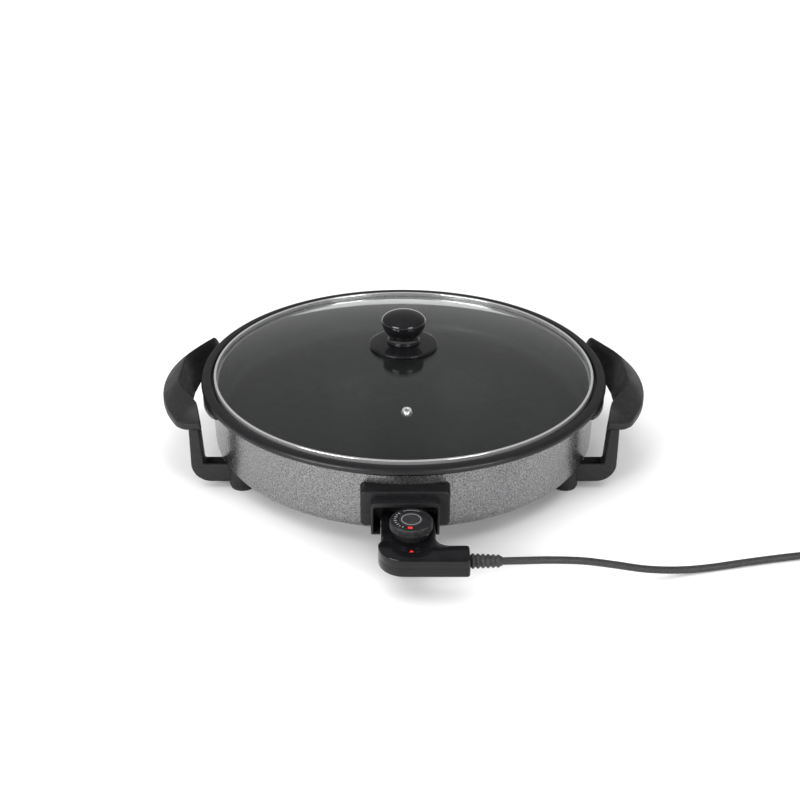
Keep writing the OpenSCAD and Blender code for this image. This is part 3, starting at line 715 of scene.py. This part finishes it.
def make_ring():
    r, top, low = RING_R, RING_TOP, RING_BOTTOM
    corners = [
        (r - 5.5, low, 0.2), (r, low, 0.9), (r, top, 0.9), (r - 2.7, top, 0.9),
        (r - 2.9, glass_low.z + GLASS_T + 0.6, 0.3), (r - 1.1, glass_low.z + GLASS_T + 0.4, 0.2),
        (r - 1.0, glass_low.z - 0.2, 0.2), (r - 5.5, glass_low.z - 0.3, 0.2),
    ]
    profile = fillet(corners, step=15)
    ring = lathe("steel_ring", profile, 256, loop=True, sharp=50)
    register(ring, "lid", "polished_steel", "lid_ring")


def make_vent():
    turn, at = vent_turn()
    corners = [
        (2, -1.4, 0.2), (5.6, -1.4, 0.3), (5.6, -0.2, 0.2), (3.5, -0.2, 0), (3.5, GLASS_T + 0.1, 0),
        (4.8, GLASS_T + 0.15, 0.15), (4.5, GLASS_T + 1.2, 0.6), (2, GLASS_T + 1.2, 0.5),
    ]
    vent = lathe("vent_grommet", fillet(corners, step=20), 64, at, turn, loop=True, sharp=50)
    register(vent, "lid", "polished_steel", "steam_vent")


def make_knob():
    base_low, base_high = box_mm("knob_base")
    disc = base_low.z + 0.8
    half = (base_high.x - base_low.x) / 2
    corners = [
        (2.6, disc + 0.1, 0), (30, disc - 0.5, 2), (half - 0.5, disc - 0.8, 0.5),
        (half, disc + 1.4, 1.1), (half - 2.2, disc + 2.3, 1.0), (24, disc + 2.9, 20),
        (15, disc + 3.3, 2), (2.6, disc + 3.3, 0),
    ]
    base = lathe("knob_disc", fillet(corners, step=10), 160, loop=True, sharp=50)
    register(base, "lid", "knob_plastic", "knob_base")
    low, high = box_mm("lid_knob")
    knob_r = (high.x - low.x) / 2
    z = low.z
    collar = [(0, z, 0), (15.6, z, 0.2), (17.2, z + 0.3, 0.8), (17.1, z + 2.3, 0.9),
              (15.9, z + 3.1, 1.2), (15.2, z + 6.4, 0)]
    widest = z + 23.6
    neck = [(15.2, z + 6.6), (16.4, z + 9.0), (18.6, z + 11.8), (20.9, z + 15.0), (22.6, z + 19.2)]
    arc = [math.radians(10 * k) for k in range(10)]
    cap = [(knob_r * math.cos(a), widest + (high.z - widest) * math.sin(a)) for a in arc]
    profile = fillet(collar, closed=False, step=8) + spline(neck + cap, 3)
    profile[-1].x = 0
    knob = lathe("knob_cap", profile, 128, sharp=60)
    register(knob, "lid", "knob_plastic", "lid_knob")


# ---- handles ----
_, grip_high = box_mm("handle_right")
GRIP_HALF = 94.0
GRIP_OUT = grip_high.x
RIDGE_END = (205, 76.5)
RIDGE_MID = (234.5, grip_high.z - 0.5)
LIP_TOP = 76.5
LIP_LOW = 69.5
LIP_ARC = 165
LIP_CORNER = 10
SHIELD_LOW = 48
FOOT_X = abs(frame["record"]["mounts"][0]["pos_m"][0]) / MM
FOOT_Y = 85.0
FOOT_R = 13.5
FOOT_TOP = 28.5
LEG_Y = 83.5
LEG_DEEP = 17.0
LEG_OUT = 218.0
EDGE = 1.6


def ridge(y):
    bulge = smooth((GRIP_HALF + 1 - abs(y)) / 72)
    rise = smooth((GRIP_HALF - abs(y)) / 18)
    return mix(RIDGE_END[0], RIDGE_MID[0], bulge), mix(RIDGE_END[1], RIDGE_MID[1], rise)


def lip_x(y):
    over = min(max(abs(y) - GRIP_HALF + LIP_CORNER, 0), LIP_CORNER)
    cut = LIP_CORNER - math.sqrt(LIP_CORNER ** 2 - over ** 2)
    return GRIP_OUT - LIP_ARC + math.sqrt(LIP_ARC ** 2 - y * y) - cut


def soft_corners(corners, steps=4):
    """Corners given as (x, z, cut), each turned into the same number of points."""
    out = []
    count = len(corners)
    for i, (x, z, cut) in enumerate(corners):
        here = Vector((x, z))
        before = Vector(corners[i - 1][:2]) - here
        after = Vector(corners[(i + 1) % count][:2]) - here
        start = here + before.normalized() * min(cut, before.length * 0.45)
        end = here + after.normalized() * min(cut, after.length * 0.45)
        for k in range(steps + 1):
            t = k / steps
            out.append(start * (1 - t) ** 2 + here * 2 * t * (1 - t) + end * t * t)
    return out


def grip_section(y):
    """Ridge, sloping top, outer lip, finger hollow and the heat shield below the ridge."""
    xr, zr = ridge(y)
    xo = lip_x(y)
    xi = xr - mix(1, 7, smooth((85 - abs(y)) / 70))
    h = smooth((82 - abs(y)) / 14)
    shield = mix(LIP_LOW, mix(LIP_LOW, SHIELD_LOW, smooth((80 - abs(y)) / 50)), h)
    return soft_corners([
        (xr + 0.4, zr + 0.4, 1.6), (mix(xr, xo, 0.5), mix(zr, LIP_TOP, 0.46) + 0.4, 8),
        (xo - 0.2, LIP_TOP, 2.0), (xo - 0.2, LIP_LOW, 1.0), (xo - 3.6, LIP_LOW, 1.0),
        (xo - 4.4, mix(LIP_LOW, LIP_TOP - 4, h), 3), (xr + 4.5, mix(LIP_LOW, zr - 6, h), 5),
        (xi + 3.6, shield, 1.4), (xi, shield, 1.4),
    ])


def make_grip(side):
    steps, end_steps = 64, 3
    rings = []
    for k in range(-end_steps, steps + end_steps + 1):
        if 0 <= k <= steps:
            y = (GRIP_HALF - EDGE) * math.sin(math.pi * (k / steps - 0.5))
            amount = 0
        else:
            beyond = (-k if k < 0 else k - steps) / end_steps
            y = math.copysign(GRIP_HALF - EDGE * (1 - math.sin(beyond * math.pi / 2)), k)
            amount = EDGE * (1 - math.cos(beyond * math.pi / 2))
        ring = grip_section(min(GRIP_HALF, max(-GRIP_HALF, y)))
        ring = inset(ring, amount) if amount else ring
        rings.append([place(side * p.x, y, p.y) for p in ring])
    return stack("handle_" + ("left" if side < 0 else "right") + "_moulding", rings)


def leg_outline(side):
    corners = [
        (FOOT_X, 8, 0), (LEG_OUT, 8, 20), (LEG_OUT - 0.3, LIP_LOW + 1.5, 0),
        (LEG_OUT - 9.5, LIP_LOW + 1.5, 0), (207, 62, 6), (205, FOOT_TOP, 2), (FOOT_X, FOOT_TOP, 0),
    ]
    return [Vector((side * p.x, p.y)) for p in fillet(corners, step=8)]


def pan_keepout():
    """The space that the pan's wall and underside take up, cut out of the handles."""
    low, high = PAN_BOTTOM - 0.1, 60
    corners = [(0, low, 0), (WALL_R - 0.3, low, 11.6), (WALL_R + 0.2, high, 0), (0, high, 0)]
    return lathe("cutter", fillet(corners, closed=False, step=8), 256)


def make_handle(side):
    handle = make_grip(side)
    half = LEG_DEEP / 2 - 2.2
    pocket_in, pocket_out = FOOT_X + 15.5, 202.5
    for sy in (-1, 1):
        leg = slab("leg", leg_outline(side), -LEG_DEEP / 2, LEG_DEEP / 2, EDGE, EDGE,
                   turn=FLAT_SIDE, at=(0, sy * LEG_Y, 0))
        combine(handle, leg, "UNION")
        pocket = fillet([(pocket_in, -half, 1), (pocket_out, -half, 1),
                         (pocket_out, half, 1), (pocket_in, half, 1)])
        pocket = [Vector((side * p.x, p.y + sy * LEG_Y)) for p in pocket]
        combine(handle, slab("cutter", pocket, 13, 34), "DIFFERENCE")
        spot = (side * FOOT_X, sy * FOOT_Y, 0)
        foot = [(0, 2, 0), (FOOT_R, 2, 1.4), (FOOT_R, FOOT_TOP, 0.8), (0, FOOT_TOP, 0)]
        combine(handle, lathe("foot", fillet(foot, closed=False), 64, spot), "UNION")
        combine(handle, rod(4.6, 0, 9, None, spot), "DIFFERENCE")
        combine(handle, rod(2.2, 0, 40, None, spot), "DIFFERENCE")
    combine(handle, pan_keepout(), "DIFFERENCE")
    shade(handle, 32)
    node = "handle_left" if side < 0 else "handle_right"
    register(handle, "pan", "black_plastic", node, look="grip_plastic")


# ---- socket housing ----
BEZEL_FRONT = 213.0
BEZEL_HALF = 42.0
BEZEL_LOW = 33.0
SHROUD_FRONT = 225.0
SHROUD = (32, 31, 65.3, 1.2, 5)                       # half width, low, high and the corners' radii
MOUTH_BACK = 204.0
STEM_LEFT, STEM_RIGHT, STEM_BACK = -22.5, 27.5, 210.0
STEM_GAP = 0.6
TUBE_Z = 38.0
TERMINAL_X = 15.0


def frame_outline(half, low, high, low_r, high_r, step=9):
    return fillet([(-half, low, low_r), (half, low, low_r),
                   (half, high, high_r), (-half, high, high_r)], step=step)


def front_block(name, levels):
    """A block lofted to the front; each level is (y, half, low, high, low_r, high_r, inset)."""
    rings = []
    for y, half, low, high, low_r, high_r, amount in levels:
        ring = frame_outline(half, low, high, low_r, high_r)
        ring = inset(ring, amount) if amount else ring
        rings.append([place(p.x, -y, p.y) for p in ring])
    return stack(name, rings)


def rounded_front(y, half, low, high, low_r, high_r, edge, steps=5):
    """Levels that round a block's front edge."""
    out = []
    for k in range(steps + 1):
        a = math.pi / 2 * k / steps
        back, amount = edge * (1 - math.sin(a)), edge * (1 - math.cos(a))
        out.append((y - back, half, low, high, low_r, high_r, amount))
    return out


def make_socket():
    _, high = box_mm("socket_housing")
    levels = [(187, BEZEL_HALF + 0.5, BEZEL_LOW, high.z, 5, 5, 0)]
    levels += rounded_front(BEZEL_FRONT, BEZEL_HALF, BEZEL_LOW, high.z - 4, 5, 5, 1.8)
    housing = front_block("socket_moulding", levels)
    wall = WALL_R + 0.08
    combine(housing, lathe("cutter", [(0, 20), (wall, 20), (wall, 90), (0, 90)], 512), "DIFFERENCE")
    levels = [(207.5, *SHROUD, 0)] + rounded_front(SHROUD_FRONT, *SHROUD, 0.9)
    combine(housing, front_block("shroud", levels), "UNION")
    key = [(y, 23.5, BEZEL_LOW, 41.9, 0.5, 0.5, 0) for y in (199, MOUTH_BACK)]
    combine(housing, front_block("key", key), "UNION")
    mouth = (29.5, 33.5, 61, 0.8, 3, 0)
    hollow = [(MOUTH_BACK, *mouth), (SHROUD_FRONT - 1.2, *mouth),
              (SHROUD_FRONT + 1, 30.3, 32.7, 61.8, 0.8, 3.4, 0)]
    combine(housing, front_block("cutter", hollow), "DIFFERENCE")
    left, right = STEM_LEFT - STEM_GAP, STEM_RIGHT + STEM_GAP
    slot = [Vector(p) for p in ((left, 28), (right, 28), (right, 36), (left, 36))]
    cutter = slab("cutter", slot, MOUTH_BACK, SHROUD_FRONT + 2, turn=FLAT_SIDE)
    combine(housing, cutter, "DIFFERENCE")
    for x, r in ((-TERMINAL_X, 3.5), (TERMINAL_X, 3.5), (0, 3.7)):
        combine(housing, rod(r, 190, 16, TO_FRONT, (x, 0, TUBE_Z)), "DIFFERENCE")
    shade(housing, 32)
    register(housing, "pan", "black_plastic", "socket_housing")


# ---- thermostat ----
shell_low, _ = box_mm("thermostat_lower_shell")
_, shell_high = box_mm("thermostat_upper_shell")
CTL_LOW, CTL_TOP = shell_low.z, shell_high.z
CTL_MID = (CTL_LOW + CTL_TOP) / 2
CTL_FRONT = AXIS_Y - shell_low.y
CTL_LEFT, CTL_RIGHT = shell_low.x, shell_high.x
ARM_BACK = CTL_FRONT - 24.7
ARM_Y = -(CTL_FRONT + ARM_BACK) / 2
DIAL_X, DIAL_Y = 5.0, -251.2
LAMP_Y = -276.8
SHELL_T = 2.0


def thermostat_outline():
    return fillet([
        (STEM_LEFT, -STEM_BACK, 2.5), (STEM_LEFT, 7.6 - ARM_BACK, 6),
        (CTL_LEFT, 2.5 - ARM_BACK, 6), (CTL_LEFT, -CTL_FRONT, 24), (CTL_RIGHT, -CTL_FRONT, 3),
        (CTL_RIGHT, -ARM_BACK, 3), (STEM_RIGHT, -ARM_BACK, 12), (STEM_RIGHT, -STEM_BACK, 2.5),
    ], step=6)


def lamp_triangle(radius):
    """Corners of the pilot lamp's window, which points at the dial."""
    turns = (0, 2 * math.pi / 3, 4 * math.pi / 3)
    return [(DIAL_X + radius * math.sin(a), LAMP_Y + radius * math.cos(a)) for a in turns]


def make_shell(name, low, high, edge_low, edge_high, node):
    """Half of the thermostat's case; the edge that is rounded is its closed side."""
    outline = thermostat_outline()
    shell = slab(name, outline, low, high, edge_low, edge_high, sharp=40)
    cavity = inset(outline, SHELL_T)
    top = high - SHELL_T if edge_high > 1 else high + 1
    bottom = low + SHELL_T if edge_low > 1 else low - 1
    combine(shell, slab("cutter", cavity, bottom, top), "DIFFERENCE")
    for x, r in ((-TERMINAL_X, 4.0), (TERMINAL_X, 4.0), (0, 3.4)):
        combine(shell, rod(r, 208, 7, TO_FRONT, (x, 0, TUBE_Z)), "DIFFERENCE")
    combine(shell, rod(5.0, CTL_RIGHT - 4, 8, TO_RIGHT, (0, ARM_Y, CTL_MID)), "DIFFERENCE")
    if edge_high > 1:
        window = [Vector(p) for p in lamp_triangle(2.5)]
        combine(shell, slab("cutter", window, CTL_TOP - 5, CTL_TOP + 5), "DIFFERENCE")
        combine(shell, rod(3.1, CTL_TOP - 8, 16, None, (DIAL_X, DIAL_Y, 0)), "DIFFERENCE")
    else:
        for x, y in ((-17, -262), (48, -285), (23, -222)):
            combine(shell, rod(2.6, low - 1, 3.5, None, (x, y, 0)), "DIFFERENCE")
    shade(shell, 35)
    register(shell, "thermostat", "gloss_black", node)


def make_thermostat():
    make_shell("thermostat_top_cover", CTL_MID + 0.05, CTL_TOP, 0.12, 2.4,
               "thermostat_upper_shell")
    make_shell("thermostat_bottom_cover", CTL_LOW, CTL_MID - 0.05, 1.6, 0.12,
               "thermostat_lower_shell")
    lens = [(*p, 0.35) for p in lamp_triangle(2.4)]
    piece = slab("pilot_triangle", fillet(lens), CTL_TOP - 2.5, CTL_TOP + 0.25, 0, 0.3)
    register(piece, "thermostat", "pilot_red", "pilot_lens")


FLUTES = 72
FLUTE_POINTS = 5
FLUTE_DEPTH = 0.5


def make_dial():
    low, high = box_mm("dial")
    r = (high.x - low.x) / 2
    z, top = low.z, high.z
    flute_low, flute_high = z + 9.6, top - 2.0
    corners = [
        (0, z, 0), (14.6, z, 0.3), (15.2, z + 2.2, 0.3), (16.2, z + 2.6, 0.3), (16.2, z + 4.8, 0.3),
        (17.2, z + 5.2, 0.3), (17.2, z + 7.6, 0.3), (18.3, z + 8.2, 0.3), (r - 0.1, z + 9.4, 0.4),
        (r - 0.1, top - 1.9, 0.5), (r - 1.9, top - 0.1, 0.6), (r - 3.3, top - 0.1, 0.25),
        (r - 3.7, top - 0.7, 0.2), (11.1, top - 0.7, 0), (11.1, top - 1.4, 0), (0, top - 1.4, 0),
    ]
    profile = fillet(corners, closed=False, step=25)
    body = []
    for here, after in zip(profile, profile[1:]):
        steps = FLUTE_POINTS if here.x > 18.5 and abs(after.y - here.y) > 3 else 1
        body += [here.lerp(after, k / steps) for k in range(steps)]
    body.append(profile[-1])
    rings = lathe_rings([(p.x, p.y) for p in body], [FLUTES * FLUTE_POINTS] * len(body))
    for ring in rings:
        height = ring[0].z
        depth = FLUTE_DEPTH * smooth(height - flute_low + 0.8) * smooth(flute_high + 0.9 - height)
        if len(ring) > 1 and depth > 0 and math.hypot(ring[0].x, ring[0].y) > 18:
            for k, point in enumerate(ring):
                dip = depth * (0.5 - 0.5 * math.cos(2 * math.pi * k / FLUTE_POINTS))
                scale = 1 - dip / math.hypot(point.x, point.y)
                point.x, point.y = point.x * scale, point.y * scale
    rings = [[place(p.x + DIAL_X, p.y + DIAL_Y, p.z) for p in ring] for ring in rings]
    piece = stack("dial_knob", rings, caps=False, sharp=50)
    register(piece, "dial", "dial_plastic", "dial")
    disc = [(0, top - 1.4, 0), (10.9, top - 1.4, 0), (10.9, top - 0.35, 0.25),
            (9.6, top - 0.35, 0.2), (9.3, top - 0.6, 0.2), (0, top - 0.6, 0)]
    face = lathe("dial_face", fillet(disc, closed=False), 96, (DIAL_X, DIAL_Y, 0), sharp=50)
    register(face, "dial", "dial_print", "dial_scale_disc")
    make_dial_marks(top)


def arc_bar(bm, r_in, r_out, start, end, low, high, steps):
    """A flat curved bar on the dial's face, as a closed solid."""
    rings = []
    for k in range(steps + 1):
        a = math.radians(mix(start, end, k / steps))
        spots = ((r_in, low), (r_out, low), (r_out, high), (r_in, high))
        rings.append([bm.verts.new(place(DIAL_X + r * math.cos(a), DIAL_Y + r * math.sin(a), z))
                      for r, z in spots])
    for lower, upper in zip(rings, rings[1:]):
        for k in range(4):
            bm.faces.new((lower[k], lower[(k + 1) % 4], upper[(k + 1) % 4], upper[k]))
    if abs(end - start) < 359.9:
        bm.faces.new(rings[0])
        bm.faces.new(rings[-1])


def make_dial_marks(top):
    """Pale ring, scale arc and strokes, and the red mark that shows the setting."""
    face = top - 0.72
    stroke = 12.5
    bm = bmesh.new()
    arc_bar(bm, 8.5, 8.9, 0, 360, top - 0.66, top - 0.52, 96)
    arc_bar(bm, 14.9, 15.2, 60, 118, face, face + 0.12, 16)
    for k in range(9):
        middle = 138 + stroke * k
        inner = 13.2 if k % 2 == 0 else 14.0
        arc_bar(bm, inner, 15.8, middle - 1.2, middle + 1.2, face, face + 0.12, 2)
    marks = finish_mesh("dial_marks", bm)
    register(marks, "dial", "dial_print", "dial_scale_disc", look="pale_ink")
    bm = bmesh.new()
    arc_bar(bm, 12.3, 15.4, -103, -86, face, face + 0.2, 6)
    red = finish_mesh("dial_pointer", bm)
    register(red, "dial", "dial_print", "dial_scale_disc", look="red_ink")


# ---- cord, strain relief and plug ----
CORD_D = 0.007
relief_low, relief_high = box_mm("strain_relief")
# The cord's middle line, in metres from the pan's axis: RUN, then the coil, then TAIL.
RUN = [
    (relief_high.x * MM, ARM_Y * MM, CTL_MID * MM), (0.105, -0.278, 0.039),
    (0.130, -0.275, 0.0375), (0.160, -0.2685, 0.032), (0.190, -0.2615, 0.023),
    (0.220, -0.254, 0.013), (0.250, -0.2465, 0.0065), (0.280, -0.2395, 0.0038),
    (0.320, -0.230, 0.0036), (0.360, -0.2215, 0.0036), (0.400, -0.215, 0.0036),
]
TAIL = [
    (0.4845, -0.150, 0.0115), (0.4845, -0.135, 0.015), (0.4845, -0.122, 0.018),
    (0.4845, -0.112, 0.019),
]
COIL_AT = (0.446, -0.170)
# Each stage of the coil is (turns so far, radius, height of the cord's middle).
COIL_STAGES = [
    (0.0, 0.0425, 0.0036), (0.3, 0.0425, 0.0043), (0.9, 0.0425, 0.0043), (1.15, 0.0352, 0.0043),
    (1.95, 0.0352, 0.0043), (2.2, 0.0385, 0.0103), (3.0, 0.0385, 0.0106), (3.25, 0.0385, 0.0106),
]


def spline(points, steps):
    """A smooth curve through the points, with the same number of steps between each pair."""
    points = [Vector(p) for p in points]
    out = []
    for i in range(len(points) - 1):
        a, b, c, d = (points[max(0, min(k, len(points) - 1))] for k in (i - 1, i, i + 1, i + 2))
        for k in range(steps):
            t = k / steps
            out.append(0.5 * (2 * b + (c - a) * t + (2 * a - 5 * b + 4 * c - d) * t * t
                              + (3 * b - 3 * c + d - a) * t ** 3))
    return out + [points[-1]]


def coil_points():
    """Two turns lie on the table side by side and a third on top of them."""
    per_turn = 24
    out = []
    for k in range(int(COIL_STAGES[-1][0] * per_turn) + 1):
        turn = k / per_turn
        for (t0, r0, z0), (t1, r1, z1) in zip(COIL_STAGES, COIL_STAGES[1:]):
            if turn <= t1 + 1e-9:
                s = smooth((turn - t0) / (t1 - t0))
                break
        r, z = mix(r0, r1, s), mix(z0, z1, s)
        a = 2 * math.pi * turn - math.pi / 2
        out.append((COIL_AT[0] + r * math.cos(a), COIL_AT[1] + r * math.sin(a), z))
    return out


def make_cord():
    line = [(x, y + AXIS_Y * MM, z) for x, y, z in RUN + coil_points() + TAIL]
    line = spline(line, 6)
    curve = bpy.data.curves.new("mains_cord", "CURVE")
    curve.dimensions = "3D"
    route = curve.splines.new("POLY")
    route.points.add(len(line) - 1)
    for point, at in zip(route.points, line):
        point.co = (*at, 1)
    curve.bevel_depth = CORD_D / 2
    curve.bevel_resolution = 6
    cord = bpy.data.objects.new("mains_cord", curve)
    bpy.context.scene.collection.objects.link(cord)
    register(cord, "thermostat", "cord_rubber", "cord_run", "cord_coil", "cord_tail")
    return cord, line


def make_tie():
    """A soft band round the coil's turns."""
    low, high, half = 0.15, 14.6, 3.6
    outline = fillet([(31.0, low, 3.6), (46.7, low, 3.6), (46.7, 7.0, 3), (42.8, high, 4.2),
                      (34.6, high, 4.2), (31.0, 7.0, 3)], step=15)
    inner = inset(outline, 0.6)
    at = Vector((COIL_AT[0] / MM, COIL_AT[1] / MM, 0))
    turn = Matrix.Rotation(math.radians(150), 3, "Z") @ FLAT_SIDE
    rings = []
    for ring, y in ((outline, -half), (outline, half), (inner, half), (inner, -half)):
        rings.append([place(*(turn @ Vector((p.x, p.y, -y)) + at)) for p in ring])
    tie = stack("coil_tie", rings, caps=False, loop=True, sharp=40)
    return register(tie, "thermostat", "cord_rubber")


def make_strain_relief():
    """A sleeve that tapers away from the body, with six rounded ribs."""
    start = relief_low.x + 5
    long = relief_high.x - start
    bore = 3.55
    profile = [Vector((bore, -4)), Vector((4.7, -4)), Vector((4.7, 0.0))]
    ribs, steps = 6, 12
    for k in range(ribs * steps + 1):
        t = k / (ribs * steps)
        wave = (0.5 - 0.5 * math.cos(2 * math.pi * ribs * t)) ** 0.7
        r = mix(5.3, 4.5, t) + mix(1.85, 1.35, t) * wave
        profile.append(Vector((r, 0.2 + (long - 1.6) * t)))
    profile += [Vector((4.3, long - 0.6)), Vector((3.9, long - 0.1)), Vector((bore, long - 0.05))]
    at = (start, ARM_Y, CTL_MID)
    sleeve = lathe("ribbed_sleeve", profile, 64, at, TO_RIGHT, loop=True, sharp=60)
    return register(sleeve, "thermostat", "cord_rubber", "strain_relief")


def make_plug():
    """A round earthed plug: a ribbed neck, a waisted grip and a flat face with side notches."""
    low, high = box_mm("plug_body")
    at = ((low.x + high.x) / 2, low.y - AXIS_Y, (low.z + high.z) / 2)
    r, long = (high.x - low.x) / 2, high.y - low.y
    corners = [(0, 0.1, 0), (4.9, 0.1, 0.4)]
    for k in range(4):
        z = 2.2 + 3.0 * k
        wider = 0.25 * k
        corners += [(4.9 + wider, z, 0.4), (5.9 + wider, z + 0.6, 0.4),
                    (5.9 + wider, z + 1.8, 0.4), (5.0 + wider, z + 2.4, 0.4)]
    corners += [(6.3, 15, 2), (9, 20, 6), (15.3, 25.4, 6), (r - 0.1, 30.5, 4),
                (r - 0.1, long - 0.2, 1.2), (0, long - 0.2, 0)]
    plug = lathe("plug_moulding", fillet(corners, closed=False, step=15), 96, at, TO_BACK)
    for side in (-1, 1):
        for k in range(3):
            spot = (at[0] + side * (r + 0.35), at[1] + 33.5 + 3.6 * k, at[2])
            combine(plug, rod(1.1, -12, 24, None, spot, 24), "DIFFERENCE")
        notch = fillet([(-3.2, 15.0, 0.5), (3.2, 15.0, 0.5), (3.2, 22, 0), (-3.2, 22, 0)])
        notch = [Vector((p.x, side * p.y)) for p in notch]
        cutter = slab("cutter", notch, -long - 1, -long + 13, turn=FLAT_SIDE, at=at)
        combine(plug, cutter, "DIFFERENCE")
    combine(plug, rod(2.6, long - 7, 10, TO_BACK, at), "DIFFERENCE")
    shade(plug, 35)
    return register(plug, "thermostat", "plug_rubber", "plug_body")


make_camera()
make_stage()
make_looks()
dress_cad_nodes()
cord, cord_line = make_cord()
cord_pieces = [make_strain_relief(), make_plug(), make_tie(),
               nodes["plug_pins"], nodes["plug_earth_clips"]]
make_pan()
make_lug(-1)
make_lug(1)
make_glass()
make_ring()
make_vent()
make_knob()
make_handle(-1)
make_handle(1)
make_socket()
make_thermostat()
make_dial()
